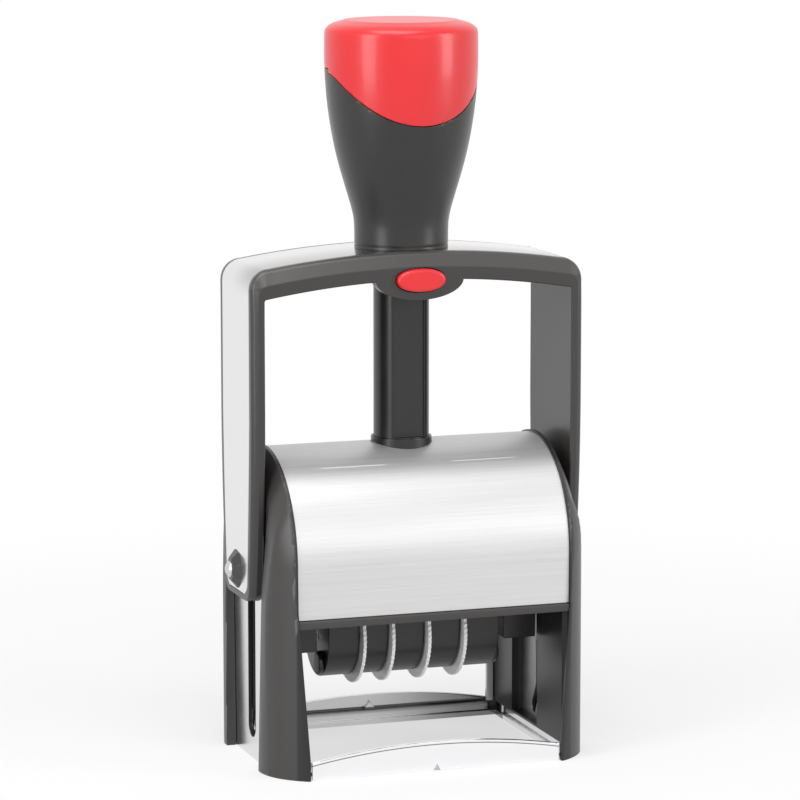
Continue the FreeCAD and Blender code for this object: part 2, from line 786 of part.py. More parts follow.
# ---------------------------------------------------------------- knob
def knob_solid(inset, bottom):
    """The whole knob, or its core when inset by the cap's wall."""
    flat = knob_radius - knob_edge_radius
    top = knob_top_z - inset
    shoulder = knob_radius - inset
    edge = (knob_edge_radius - inset) * math.sqrt(0.5)
    mid = (flat + edge, knob_shoulder_z + edge)
    foot = knob_bottom_radius - inset
    return revolve_z((0, bottom), [
        (foot, bottom), (foot, knob_seat_z + 6),
        ((foot + 1.95, knob_seat_z + 14.6), (foot + 4.6, knob_seat_z + 24.2)),
        ((foot + 5.7, knob_seat_z + 30.0), (foot + 6.6, knob_seat_z + 39.0)),
        (shoulder, knob_seat_z + 44.0), (shoulder, knob_shoulder_z),
        (mid, (flat, top)), (0, top), (0, bottom)])


def cap_region():
    """The space above the shield-shaped front edge and the straight rear edge of the cap."""
    centre_z = cap_front_z + cap_front_radius
    side_x = math.sqrt(cap_front_radius ** 2 - (centre_z - cap_rear_z) ** 2)
    high = knob_top_z + 5
    front = prism_y((-30, high), [
        (-30, cap_rear_z), (-side_x, cap_rear_z), ((0, cap_front_z), (side_x, cap_rear_z)),
        (30, cap_rear_z), (30, high), (-30, high)], -30, 0)
    rear = box((-30, 30), (0, 30), (cap_rear_z, high))
    return front.fuse(rear).removeSplitter()


def knob_core():
    low = cap_front_z - 6
    return knob_solid(cap_wall, knob_seat_z).common(box((-30, 30), (-30, 30), (low, knob_top_z)))


def grip_cap():
    """Red cap: a shell over the top of the grip, with a shield-shaped front."""
    return knob_solid(0, knob_seat_z).common(cap_region()).cut(knob_core()).removeSplitter()


def grip_body():
    """Dark waisted grip with a bore for the column and the spring."""
    shape = knob_solid(0, knob_seat_z).cut(cap_region()).fuse(knob_core())
    shape = shape.cut(outer_arch(0, band_bottom_z))
    shape = shape.cut(rod_z(knob_bore, (knob_seat_z - 1, knob_bore_top_z)))
    for side in (-1, 1):
        pilot = rod_z(knob_screw_radius, (knob_seat_z - 1, knob_seat_z + 7), side * knob_screw_x)
        shape = shape.cut(pilot)
    return shape.removeSplitter()


def grip_screws():
    """Two screws from under the bow into the grip."""
    group = []
    for side in (-1, 1):
        x = side * knob_screw_x
        low = bow_inner_top_z + 1.6
        head = rod_z(1.9 * knob_screw_radius, (low - 1.2, low), x)
        group.append(head.fuse(rod_z(knob_screw_radius, (low, knob_seat_z + 6.8), x)))
    return group


# ---------------------------------------------------------------- date wheels and bands
def ring_places():
    """Left face of each wheel's thumb ring, from the ring thickness, band width and gap."""
    places = []
    x = first_ring_x - wheel_ring_thickness / 2
    for width in band_widths:
        places.append(x)
        x += wheel_ring_thickness + width + wheel_gap
    return places


def date_wheel(index):
    """Thumb ring with a toothed rim, on the hub that drives one band."""
    x = ring_places()[index]
    points = []
    for tooth in range(2 * wheel_tooth_count):
        turn = math.pi * tooth / wheel_tooth_count
        radius = wheel_ring_radius - (wheel_tooth_depth if tooth % 2 else 0)
        points.append(Vector(0, radius * math.sin(turn), wheel_axis_z + radius * math.cos(turn)))
    rim = Part.Face(Part.makePolygon(points + [points[0]]))
    ring = prism(rim, x, x + wheel_ring_thickness, Vector(1, 0, 0))
    hub_end = x + wheel_ring_thickness + band_widths[index]
    wheel = ring.fuse(rod_x(wheel_hub_radius, (x, hub_end), 0, wheel_axis_z))
    bore = rod_x(wheel_axle_radius + wheel_axle_clearance, (x - 1, hub_end + 1), 0, wheel_axis_z)
    return wheel.cut(bore)


def loop(radius_low, radius_high, top_z, x):
    """A belt-shaped block around the wheel axis and a smaller bar near the die face."""
    distance = top_z - wheel_axis_z
    lean = math.asin((radius_low - radius_high) / distance)
    cos_lean, sin_lean = math.cos(lean), math.sin(lean)
    low = (radius_low * cos_lean, wheel_axis_z + radius_low * sin_lean)
    high = (radius_high * cos_lean, top_z + radius_high * sin_lean)
    return prism_x(low, [
        high, ((0, top_z + radius_high), (-high[0], high[1])), (-low[0], low[1]),
        ((0, wheel_axis_z - radius_low), low)], x[0], x[1])


def date_band(index):
    """Endless band around one wheel's hub and over the bridge bar at the die face."""
    left = ring_places()[index] + wheel_ring_thickness + date_band_gap
    x = (left, left + band_widths[index] - 2 * date_band_gap)
    inner_low = wheel_hub_radius + date_band_gap
    inner_high = bridge_bar_radius + date_band_gap
    top_z = die_face_z - inner_high - date_band_thickness
    outer = loop(inner_low + date_band_thickness, inner_high + date_band_thickness, top_z, x)
    return outer.cut(loop(inner_low, inner_high, top_z, (x[0] - 1, x[1] + 1)))


def date_span():
    """Left and right limits of the row of wheels."""
    places = ring_places()
    return places[0], places[-1] + wheel_ring_thickness + band_widths[-1]


def band_bridge():
    """Bar under the bands at the die face, with a tab on the deck at each end."""
    low, high = date_span()
    z = die_face_z - bridge_bar_radius - date_band_gap - date_band_thickness
    bar = rod_x(bridge_bar_radius, (low, high), 0, z)
    left_tab = box((low - 3, low + 0.4), (-2, 2), (deck_top_z, text_plate_z))
    right_tab = box((high - 0.4, high + 3), (-2, 2), (deck_top_z, text_plate_z))
    return bar.fuse(left_tab).fuse(right_tab).removeSplitter()


def wheel_axle():
    """Steel axle of the four date wheels."""
    return rod_x(wheel_axle_radius, (-drum_half_width, drum_half_width), 0, wheel_axis_z)


def band_housing():
    """Dark drum around the wheels, slotted for the thumb rings and open towards the deck."""
    x = (-drum_half_width, drum_half_width)
    outer = rod_x(drum_radius, x, 0, wheel_axis_z)
    outer = outer.fuse(box(x, (-drum_radius, drum_radius), (wheel_axis_z, deck_bottom_z)))
    inner_radius = drum_radius - drum_wall
    room_x = (-drum_half_width + drum_end_wall, drum_half_width - drum_end_wall)
    room = rod_x(inner_radius, room_x, 0, wheel_axis_z)
    room = room.fuse(box(room_x, (-inner_radius, inner_radius), (wheel_axis_z, deck_bottom_z + 1)))
    shape = outer.cut(room)
    cut_radius = wheel_ring_radius + drum_slot_clearance
    for place in ring_places():
        slot_x = (place - drum_slot_clearance, place + wheel_ring_thickness + drum_slot_clearance)
        shape = shape.cut(rod_x(cut_radius, slot_x, 0, wheel_axis_z))
    shape = shape.cut(rod_x(wheel_axle_radius, (-30, 30), 0, wheel_axis_z))
    return shape.removeSplitter()


def drum_studs():
    """Round stud on each end of the drum that snaps it into the carrier."""
    group = []
    z = wheel_axis_z - drum_stud_drop
    for side in (-1, 1):
        x = sorted((side * drum_half_width, side * (drum_half_width + drum_stud_height)))
        group.append(rod_x(drum_stud_radius, x, drum_stud_y, z))
    return group


# ---------------------------------------------------------------- die carrier
def deck_opening(z):
    low, high = date_span()
    return box((low - 0.2, high + 0.2), (-deck_opening_half_depth, deck_opening_half_depth), z)


def carrier_deck():
    """Plate between the end blocks that carries the text plate and the drum."""
    edge_x = carrier_half_width - end_block_width
    deck = box((-edge_x, edge_x), (-imprint_half_depth, imprint_half_depth), (deck_bottom_z, deck_top_z))
    for side in (-1, 1):
        for y in (-1, 1):
            x = sorted((side * edge_x, side * imprint_half_width))
            depth = sorted((y * (end_block_half_depth), y * imprint_half_depth))
            deck = deck.fuse(box(x, depth, (deck_bottom_z, deck_top_z)))
    return deck.cut(deck_opening((deck_bottom_z - 1, deck_top_z + 1))).removeSplitter()


def carrier_screw_places():
    """Screws down the end blocks, clear of the axle bore."""
    x = carrier_half_width - end_block_width / 2
    y = end_block_half_depth - 2.8
    return [(across * x, along * y) for across in (-1, 1) for along in (-1, 1)]


def carrier_end():
    """Chunky end block with the axle bore and the cam pin."""
    inner_x = carrier_half_width - end_block_width
    block = box((inner_x, carrier_half_width), (-end_block_half_depth, end_block_half_depth),
                (end_block_bottom_z, deck_top_z))
    bore = rod_x(axle_pin_radius + axle_pin_clearance, (inner_x + 1.5, carrier_half_width + 1), 0,
                 axle_height)
    y, z = pin_path(0)
    pin = rod_x(cam_pin_radius, (carrier_half_width - 1, cam_outer_x), y, z)
    block = block.cut(bore).fuse(pin)
    for x, y in carrier_screw_places():
        block = block.cut(rod_z(carrier_screw_radius, (deck_top_z - carrier_screw_depth,
                                                       deck_top_z + 1), x, y))
    return block.removeSplitter()


def text_plate():
    """Stiff backing plate of the rubber die."""
    low, high = date_span()
    plate = box((-imprint_half_width, imprint_half_width), (-imprint_half_depth, imprint_half_depth),
                (deck_top_z, text_plate_z))
    opening = box((low - 3.2, high + 3.2), (-deck_opening_half_depth, deck_opening_half_depth),
                  (deck_top_z - 1, text_plate_z + 1))
    return plate.cut(opening)


def rubber_die():
    """Rubber face: a raised border line and blank text bars around the date opening."""
    relief_z = die_face_z - die_relief
    pad = box((-imprint_half_width, imprint_half_width), (-imprint_half_depth, imprint_half_depth),
              (text_plate_z, relief_z))
    x, y = imprint_half_width - 0.6, imprint_half_depth - 0.6
    border = box((-x, x), (-y, y), (relief_z, die_face_z))
    border = border.cut(box((-x + die_border, x - die_border), (-y + die_border, y - die_border),
                            (relief_z - 1, die_face_z + 1)))
    shape = pad.fuse(border)
    bar_half = imprint_half_width - 7
    for side in (-1, 1):
        for near in (7.0, 11.5):
            depth = sorted((side * near, side * (near + 2.2)))
            shape = shape.fuse(box((-bar_half, bar_half), depth, (relief_z, die_face_z)))
    return shape.cut(deck_opening((text_plate_z - 1, die_face_z + 1))).removeSplitter()


def carrier_screws():
    """Four screws that hold the end blocks to the deck's text plate."""
    return [rod_z(carrier_screw_radius, (deck_top_z - carrier_screw_depth, deck_top_z), x, y)
            for x, y in carrier_screw_places()]


# ---------------------------------------------------------------- ink pad
def ink_pad():
    """Felt pad, face down above the rubber die."""
    return box((-pad_half_width, pad_half_width), (-pad_half_depth, pad_half_depth),
               (pad_bottom_z, pad_top_z))


def pad_tray():
    """Sliding tray over the pad, closed at the back by a curved fascia with a finger lip."""
    width = (-tray_half_width, tray_half_width)
    tray = prism_x((-tray_front_y, pad_top_z), [
        (cover_radius, pad_top_z), (cover_radius, tray_top_z), (-tray_front_top_y, tray_top_z),
        (-tray_front_y, pad_top_z)], *width)
    skin_radius = cover_radius - fascia_thickness
    tray = tray.common(barrel(skin_radius + 0.1, width))
    high = cover_rear_angle - 1.0
    x = (-arch_inner_x + fascia_clearance, arch_inner_x - fascia_clearance)
    skin = sector(cover_radius, skin_radius, fascia_bottom_angle, high, x)
    rib_x = (-pad_half_width, pad_half_width)
    rib = sector(skin_radius + 0.1, skin_radius - fascia_rib_thickness, fascia_bottom_angle + 6, high,
                 rib_x)
    lip_x = (-tray_grip_half_width, tray_grip_half_width)
    lip = sector(cover_radius + tray_grip_depth, cover_radius - 0.4, fascia_bottom_angle,
                 fascia_bottom_angle + 4, lip_x)
    return tray.fuse(skin).fuse(rib).fuse(lip).removeSplitter()


# ---------------------------------------------------------------- all pieces
def main():
    os.makedirs("parts", exist_ok=True)
    save("base_frame", base_frame())
    save("rear_posts", Part.makeCompound([rear_post(), mirrored(rear_post())]))
    for side, turned in (("right", lambda shape: shape), ("left", mirrored)):
        save("side_plate_" + side, turned(side_plate()))
        save("cam_plate_" + side, turned(cam_plate()))
        save("side_housing_" + side, turned(side_housing()))
        save("axle_pin_" + side, turned(axle_pin()))
        save("axle_bush_" + side, turned(axle_bush()))
        save("carrier_end_" + side, turned(carrier_end()))
        save("side_rivets_" + side, turned(Part.makeCompound(side_rivets())))
    save("base_screws", Part.makeCompound(base_screws()))
    save("cover", cover())
    save("front_crossbar", front_crossbar())
    save("rear_crossbar", rear_crossbar())
    save("bridge_plate", bridge_plate())
    save("guide_column", guide_column())
    save("column_collar", column_collar())
    save("column_screw", column_screw())
    save("return_spring", return_spring())
    save("bow_frame", bow_frame())
    save("bow_band", bow_band())
    save("lock_button", lock_button())
    save("button_spring", button_spring())
    save("grip_body", grip_body())
    save("grip_cap", grip_cap())
    save("grip_screws", Part.makeCompound(grip_screws()))
    for index in range(len(band_widths)):
        save("date_wheel_%d" % (index + 1), date_wheel(index))
        save("date_band_%d" % (index + 1), date_band(index))
    save("wheel_axle", wheel_axle())
    save("band_bridge", band_bridge())
    save("band_housing", band_housing())
    save("drum_studs", Part.makeCompound(drum_studs()))
    save("carrier_deck", carrier_deck())
    save("carrier_screws", Part.makeCompound(carrier_screws()))
    save("text_plate", text_plate())
    save("rubber_die", rubber_die())
    save("ink_pad", ink_pad())
    save("pad_tray", pad_tray())


main()
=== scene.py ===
"""Self-inking date stamp: the looks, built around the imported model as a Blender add-on."""

import json
import math
from contextlib import contextmanager

import bmesh
import bpy
from bpy.props import FloatProperty, FloatVectorProperty, PointerProperty
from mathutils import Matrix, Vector

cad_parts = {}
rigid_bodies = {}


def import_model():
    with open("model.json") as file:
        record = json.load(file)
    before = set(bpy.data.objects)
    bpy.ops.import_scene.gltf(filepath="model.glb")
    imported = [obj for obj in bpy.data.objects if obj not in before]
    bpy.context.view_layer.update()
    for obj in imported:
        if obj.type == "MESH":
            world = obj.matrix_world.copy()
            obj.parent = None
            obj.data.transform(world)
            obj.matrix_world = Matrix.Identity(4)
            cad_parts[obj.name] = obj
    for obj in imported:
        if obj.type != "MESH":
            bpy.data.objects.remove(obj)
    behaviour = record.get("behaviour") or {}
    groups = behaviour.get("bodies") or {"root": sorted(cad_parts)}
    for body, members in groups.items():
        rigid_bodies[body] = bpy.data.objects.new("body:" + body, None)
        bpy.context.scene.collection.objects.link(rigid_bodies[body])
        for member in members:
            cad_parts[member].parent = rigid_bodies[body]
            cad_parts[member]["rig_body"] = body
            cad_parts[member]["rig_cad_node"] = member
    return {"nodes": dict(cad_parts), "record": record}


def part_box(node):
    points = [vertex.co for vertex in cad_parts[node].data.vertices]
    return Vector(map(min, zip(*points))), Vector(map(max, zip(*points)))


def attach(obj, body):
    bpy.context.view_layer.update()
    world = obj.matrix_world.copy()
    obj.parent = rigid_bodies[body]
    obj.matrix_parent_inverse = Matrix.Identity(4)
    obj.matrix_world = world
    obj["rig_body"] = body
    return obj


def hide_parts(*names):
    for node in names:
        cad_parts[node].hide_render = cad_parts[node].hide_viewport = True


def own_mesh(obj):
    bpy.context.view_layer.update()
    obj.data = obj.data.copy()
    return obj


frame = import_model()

bl_info = {
    "name": "Self-inking date stamp",
    "version": (1, 0, 0),
    "blender": (4, 5, 0),
    "location": "View3D > Sidebar > Date stamp",
    "description": "Models a heavy date stamp with a tall knob around its packed frame",
    "category": "Mesh",
}

MM = 0.001
PIECE_SUFFIX = "_finished"
SLOT_OF = {part["node"]: part["material_slot"] for part in frame["record"]["subparts"]}
BODY_OF = {node: body for body, nodes in frame["record"]["behaviour"]["bodies"].items() for node in nodes}


def low(node):
    """Lowest corner of a CAD node, in millimetres."""
    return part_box(node)[0] / MM


def high(node):
    """Highest corner of a CAD node, in millimetres."""
    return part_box(node)[1] / MM


# ---------------------------------------------------------------- sizes and places, in millimetres
WELD = 0.002  # points nearer than this are merged
ROW_HIT = 0.01  # points nearer than this to a row's height belong to it
PAST = 30  # reach of a cutting tool to either side
SPIN_STEPS = 96

# knob
GRIP_LINE = (  # height and radius of the grip, from the seam up to the cap's shoulder
    (114.6, 10.40), (117.5, 10.43), (119.4, 10.53), (121.3, 10.85), (124.0, 11.56), (129.3, 13.14),
    (134.6, 14.55), (139.95, 15.60), (145.25, 16.36), (150.5, 16.80), (154.5, 16.97), (160.0, 16.97),
    (161.5, 16.80), (162.3, 16.22), (162.95, 15.15), (163.4, 13.70))
GRIP_LINE_STEPS = 5
GRIP_BORE = 6.9
GRIP_BORE_TOP_Z = 154.5
SEAM_HEIGHT = 114.3
SEAM_HALF = 0.08
SEAM_DEPTH = 0.15
CAP_RIM_RADIUS = 12.45
CAP_FRONT_Z = low("grip_cap").z
CAP_FRONT_RADIUS = 18.5
CAP_REAR_Z = 153.4
CAP_TOP_SPARE = 5
CAP_SEAT_GAP = 0.1
SHIELD_STEPS = 47
SHIELD_LAP = 0.01

# bow and its plated strip
ARCH_TURNS = 8
ARCH_SPANS = 24
ARM_ROWS = 14
ARM_TOP_ROWS = [90, 100]
BAND = 0.7
BAND_PROUD = 0.05
BAND_X = high("bow_band").x
BAND_FOOT_CORNER = 2.9
BOW_X = BAND_X - BAND_PROUD
BOW_INNER_X = 35.5
BOW_TOP_Z = high("bow_band").z
BOW_TOP_RADIUS = 217.0
BOW_INNER_TOP_Z = 107.6
BOW_INNER_RADIUS = 203.0
BOW_CORNER = 4.6
BOW_INNER_CORNER = 0.5
BOW_WAIST = (12.4, 60.0)  # half depth and height
BOW_FULL = (13.2, 78.0)  # half depth and the height from which it holds
BOW_FOOT_HALF_DEPTH = 9.9
BOW_FOOT_CORNER = 2.6
EDGE_TURNS = 7
FRONT_LEAN = 0.6
STRIP_MARGIN = 3.0
STRIP_FOOT_MARGIN = 2.2
STRIP_GAP = 0.15
CROWN_Z = (90, 120)  # heights between which tools cut the crown
GUIDE_RADIUS = 6.26
COLUMN_WAY = 6.5

# axle hubs
AXLE_Z = 43.2
AXLE_BORE = 1.7
AXLE_BORE_X = (34, 42)
HUB_RADIUS = 4.6
HUB_TIP_RADIUS = 2.6
HUB_TIP_X = 40.0
HUB_SIDES = 8
HUB_SINK = 0.15
HUB_EDGE = 0.15
HUB_WINDOW = 4.3
HUB_WINDOW_X = (30, 45)
HUB_ROOT_DEPTH = 0.5
HUB_ROOT_GAP = 0.05

# button and its boss
BOSS_HALF = (10.15, 4.5)
BOSS_Y = (-BOW_FULL[0], -9.6)
BOSS_TOP_Z = 109.4
BUTTON_Z = 107.6
BUTTON_HALF = (high("lock_button").x, (high("lock_button").z - low("lock_button").z) / 2)
BUTTON_THICKNESS = 1.6
BUTTON_RIM_SPARE = 1.0
STEM_HALF = (2.7, 1.4)
STEM_LAP = 0.3
WELL_Y = (-16, -10.3)
WELL_GAP = 0.25
OVAL_STEPS = 80
OVAL_FULLNESS = 2.2

# cover
COVER_CENTRE_Z = 46.9
COVER_WALL = 0.8
COVER_REAR_ANGLE = 41.0
COVER_STEPS = 92
CREASE_ANGLES = (121.0, 59.0)
CREASE_HALF_WIDTH = 0.4
CREASE_GAP = 7.6
CREASE_END = 22.0
CREASE_RUN = 1  # length over which a crease comes and goes
COLLAR_WAY = 6.8
COLLAR_WAY_Z = (60, 80)

# side housings
ARCH_RADIUS = 23.6
LEG_FOOT_Y = 25.2
LEG_START_Z = -2
LEG_SKIN = ((0.0, 37.38), (38.0, 36.88), (64.0, 35.08))  # heights, and how far out the side lies there
SKIN_SHAVE = 0.02
PLAN_CENTRE = (21.956, 12.176)
PLAN_RADIUS = 15.576
RIM_X = ((0.0, 29.7), (47.0, 32.3))  # heights, and how far out the rim lies there
RIM_BLEND = 8.0
SKIN_INSETS = (9.5, 11.0, 12.2, 13.0)  # places behind the blend, where the tool follows the skin
LEG_STEPS = 13
ARC_STEPS = 40
BLEND_STEPS = 14
CUTTER_SPARE = 3
CUTTER_X = 45

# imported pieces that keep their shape
PIN_EDGE = 0.15
WHEEL_EDGE = 0.08
DIE_EDGE = 0.1
FASTENER_EDGE = 0.12

# where a finish changes over a piece: painted light, reflection and shade, and the small mark on the base's
# front bar
BAR_LIT_INSET = (3.4, 3.2)
STRIP_TOP_Z = (104.0, 111.5)
STRIP_FRONT_Y = (6.0, -10.5)
REAR_BAR_Y = 16.0
REAR_BAR_X = (-4.0, 28.0)
LEDGE_Z = (2.2, 3.4)
LEDGE_TOP_Z = 3.8
BAR_MIDDLE_Z = 6.6
BAR_ARCH_RADIUS = 154.96
BAR_LINE_DROP = 0.62
BAR_LINE_HALF = 0.12
MARK_HALF = 0.9
MARK_SLOPE = 0.55
HOUSING_INSIDE_X = (32.1, 31.7)
SLOT_HALF = 2.85
SLOT_SHADE_SPARE = 0.03
SLOT_Z = (7.6, AXLE_Z)
CAM_OUTER_SKIN = 0.7

# floor, lamps and camera
FLOOR_SIZE = 6000
FLOOR_FADE = (50, 300)
LAMP_AIM = (0, 0, 85)
LAMPS = (  # name, place, size and power
    ("top_softbox", (-120, -160, 620), (420, 420), 2.2),
    ("left_softbox", (-620, -260, 240), (260, 520), 2.0),
    ("right_softbox", (560, -420, 260), (240, 460), 1.9),
    ("front_fill", (60, -760, 330), (520, 260), 0.6))
CAMERA_DISTANCE = 884.6
CAMERA_YAW = 18.63
CAMERA_Z = 218.5
CAMERA_PITCH = 8.96
CAMERA_SIDE = -0.26
CAMERA_FOCAL = 4013.7  # in pixels of a picture as wide as FRAME_PIXELS
FRAME_PIXELS = 800
SENSOR = 36.0


# ---------------------------------------------------------------- what a user would change
def length(name, text, default):
    """A size in metres, shown in the scene's unit, with its default given in millimetres."""
    return FloatProperty(name=name, description=text, default=default * MM, min=0.0, unit="LENGTH",
                         precision=5)


def colour(name, text, default):
    return FloatVectorProperty(name=name, description=text, default=default, min=0.0, max=1.0, size=3,
                               subtype="COLOR")


class StampSizes(bpy.types.PropertyGroup):
    """Sizes of the details that the frame leaves open."""
    plastic_edge: length("Plastic edge", "Rounding of moulded edges", 0.45)
    metal_edge: length("Metal edge", "Rounding of sheet metal edges", 0.15)
    bow_edge: length("Bow edge", "Rounding of the bow's front outer edge", 0.8)
    bow_rear_edge: length("Bow rear edge", "Rounding of the bow's rear outer edge", 1.9)
    cap_seam: length("Cap seam", "Gap between the cap and the grip", 0.2)
    cap_wall: length("Cap wall", "Depth of the cap's seat in the grip", 1.2)
    button_rim: length("Button rim", "Width of the rounded rim around the button's face", 0.75)
    crease: length("Crease", "Height of the fine creases across the cover", 0.045)


class StampColours(bpy.types.PropertyGroup):
    """Colours of the finishes."""
    charcoal: colour("Charcoal", "Moulded frame and grip", (0.036, 0.034, 0.033))
    # also the dark of the painted shade on the housings' inward faces, the side plates' slot and the cam
    # plates' outer faces
    black: colour("Black", "Guide column", (0.012, 0.012, 0.0125))
    red: colour("Red", "Cap and button", (0.66, 0.013, 0.018))
    chrome: colour("Chrome", "Plated strip, plates and base", (0.80, 0.80, 0.81))
    steel: colour("Steel", "Screws, rivets and cam plates", (0.62, 0.62, 0.63))
    cover: colour("Cover", "Brushed sheet", (0.602, 0.602, 0.606))
    rubber: colour("Rubber", "Die", (0.30, 0.28, 0.27))
    band: colour("Band", "Date bands", (0.12, 0.12, 0.125))
    wheel: colour("Wheel", "Date wheels", (0.86, 0.86, 0.85))
    felt: colour("Felt", "Ink pad", (0.02, 0.02, 0.035))


# ---------------------------------------------------------------- shader maths
class Field:
    """A node's output that Python's operators combine through Math nodes."""

    def __init__(self, finish, socket):
        self.finish = finish
        self.socket = socket

    def math(self, operation, *values):
        return self.finish.node("ShaderNodeMath", {"operation": operation}, dict(enumerate(values)))

    def __add__(self, other):
        return self.math("ADD", self, other)

    __radd__ = __add__

    def __sub__(self, other):
        return self.math("SUBTRACT", self, other)

    def __rsub__(self, other):
        return self.math("SUBTRACT", other, self)

    def __mul__(self, other):
        return self.math("MULTIPLY", self, other)

    __rmul__ = __mul__

    def __lt__(self, other):
        return self.math("LESS_THAN", self, other)

    def __gt__(self, other):
        return self.math("GREATER_THAN", self, other)

    def __abs__(self):
        return self.math("ABSOLUTE", self)

    def root(self):
        return self.math("SQRT", self)

    def swing(self, amount):
        """A pattern's rise and fall about its middle, times an amount."""
        return (self - 0.5) * amount


class Finish:
    """The node tree of a new material or world, under construction."""

    def __init__(self, name, kind="materials"):
        self.owner = getattr(bpy.data, kind).new(name)
        self.owner.use_nodes = True
        self.tree = self.owner.node_tree
        self.tree.nodes.clear()

    def node(self, kind, settings=None, inputs=None, output=0):
        """Adds a node: its settings first, then the values or links of its sockets."""
        node = self.tree.nodes.new(kind)
        for key, value in (settings or {}).items():
            if key == "stops":
                for element, (position, shade) in zip(node.color_ramp.elements, value):
                    element.position = position
                    element.color = (shade, shade, shade, 1)
            else:
                setattr(node, key, value)
        for key, value in (inputs or {}).items():
            if isinstance(value, Field):
                self.tree.links.new(value.socket, node.inputs[key])
            else:
                node.inputs[key].default_value = value
        return Field(self, node.outputs[output])

    def place(self, scale=(1, 1, 1)):
        """Object coordinates, stretched by a scale per axis."""
        raw = self.node("ShaderNodeTexCoord", output="Object")
        return self.node("ShaderNodeMapping", {}, {"Vector": raw, "Scale": scale})

    def axis(self, letter):
        """The Object coordinate along one axis, in metres."""
        return self.node("ShaderNodeSeparateXYZ", {}, {"Vector": self.place()}, letter)

    def noise(self, scale, detail=2.0, stretch=(1, 1, 1), rough=0.5):
        return self.node("ShaderNodeTexNoise", {}, {
            "Vector": self.place(stretch), "Scale": scale, "Detail": detail, "Roughness": rough})

    def ramp(self, value, start, end):
        """Black up to a start and white from an end."""
        return self.node("ShaderNodeValToRGB", {"stops": ((start, 0.0), (end, 1.0))}, {"Fac": value})

    def fade(self, value, start, end, kind="SMOOTHSTEP"):
        """0 to 1 while a value goes from a start to an end in millimetres."""
        return self.node("ShaderNodeMapRange", {"interpolation_type": kind}, {
            "Value": value, "From Min": start * MM, "From Max": end * MM})

    def mix(self, amount, first, second):
        """Mixes two colours."""
        return self.node("ShaderNodeMix", {"data_type": "RGBA"}, {
            0: amount, 6: first, 7: second}, output=2)

    def shades(self, amount, rgb, first, second):
        """Mixes two shades of one colour, each given by its gain."""
        return self.mix(amount, tint(rgb, first), tint(rgb, second))

    def bump(self, height, strength, depth):
        return self.node("ShaderNodeBump", {}, {
            "Height": height, "Strength": strength, "Distance": depth * MM})

    def done(self, **inputs):
        """Ends in one principled surface; an underscore in a name stands for a space."""
        sockets = {key.replace("_", " "): value for key, value in inputs.items()}
        return self.end(self.node("ShaderNodeBsdfPrincipled", {}, sockets))

    def end(self, shader, kind="ShaderNodeOutputMaterial"):
        self.tree.links.new(shader.socket, self.tree.nodes.new(kind).inputs["Surface"])
        return self.owner


def tint(rgb, gain=1.0):
    return tuple(min(1.0, channel * gain) for channel in rgb) + (1.0,)


def apart(first, second):
    """Distance from the origin of a plane, from its two coordinates."""
    return (first * first + second * second).root()


# ---------------------------------------------------------------- finishes
UPRIGHT = (1, 1, 0.06)  # draws a pattern out along Z
SHEET = (0.06, 1, 0.06)  # draws a pattern out along X and Z


def moulded(name, rgb, shine, grain=1.0):
    """Dark moulded plastic: fine spark-eroded grain, faint flow marks, uneven gloss."""
    finish = Finish(name)
    fine = finish.noise(5200)
    flow = finish.noise(60, 3.0, (1, 1, 0.35))
    smudge = finish.noise(170, 4.0)
    return finish.done(Base_Color=finish.shades(finish.ramp(flow, 0.35, 0.7), rgb, 0.93, 1.08),
                       Roughness=shine + smudge.swing(0.10) + fine.swing(0.06), IOR=1.5,
                       Normal=finish.bump(fine, 0.10 * grain, 0.04))


def specked(finish, base, shine, **more):
    """Ends a plastic finish with a fine, shallow grain."""
    speck = finish.noise(4200)
    return finish.done(Base_Color=base, Roughness=shine + speck.swing(0.06),
                       Normal=finish.bump(speck, 0.06, 0.03), **more)


def polished(finish, base, roughness, stretch, metal=1.0):
    """Ends a plated finish with faint hairlines from polishing."""
    hair = finish.noise(900, 3.0, stretch)
    return finish.done(Base_Color=base, Metallic=metal, Roughness=roughness + hair.swing(0.05),
                       Normal=finish.bump(hair, 0.03, 0.02))


def charcoal_plastic(colours):
    return moulded("charcoal moulded plastic", colours.charcoal, 0.36)


def grip_plastic(colours):
    return moulded("dark grip plastic", tint(colours.charcoal, 0.45)[:3], 0.30, 0.5)


def black_plastic(colours):
    return moulded("black moulded plastic", colours.black, 0.30, 0.6)


def red_plastic(colours):
    """Bright red plastic with a soft gloss and a slightly wavy moulded skin."""
    finish = Finish("red gloss plastic")
    base = finish.shades(finish.noise(120), colours.red, 0.96, 1.04)
    return specked(finish, base, 0.34, Coat_Weight=0.25, Coat_Roughness=0.12, IOR=1.48)


def bow_plastic(colours):
    """Charcoal plastic of the bow, with painted light: the leaning outer half of its top bar a lighter
    grey.
    """
    finish = Finish("bow plastic")
    reach = apart(finish.axis("X"), finish.axis("Z") - (BOW_TOP_Z - BOW_TOP_RADIUS) * MM)
    # painted light: the outer half of the top bar, which leans up towards the top lamp, is painted a
    # lighter grey
    painted_light = finish.fade(reach, *(BOW_TOP_RADIUS - inset for inset in BAR_LIT_INSET))
    plain = finish.shades(finish.noise(60), colours.charcoal, 0.82, 0.88)
    return specked(finish, finish.mix(painted_light, plain, tint(colours.charcoal, 1.5)), 0.33)


def housing_plastic(colours):
    """Charcoal plastic of the side housings, with painted shade on the inward faces."""
    finish = Finish("side housing plastic")
    # painted shade: the inward faces are painted near black
    inward = finish.fade(abs(finish.axis("X")), *HOUSING_INSIDE_X, "LINEAR")
    plain = finish.shades(finish.noise(60), colours.charcoal, 0.96, 1.04)
    return specked(finish, finish.mix(inward, plain, tint(colours.black, 0.7)), 0.36)


def chrome(colours):
    """Polished plate with a trace of handling."""
    finish = Finish("polished plate")
    cloud = finish.noise(45, 3.0)
    base = finish.shades(cloud, colours.chrome, 0.97, 1.02)
    return polished(finish, base, 0.13 + cloud.swing(0.06), UPRIGHT)


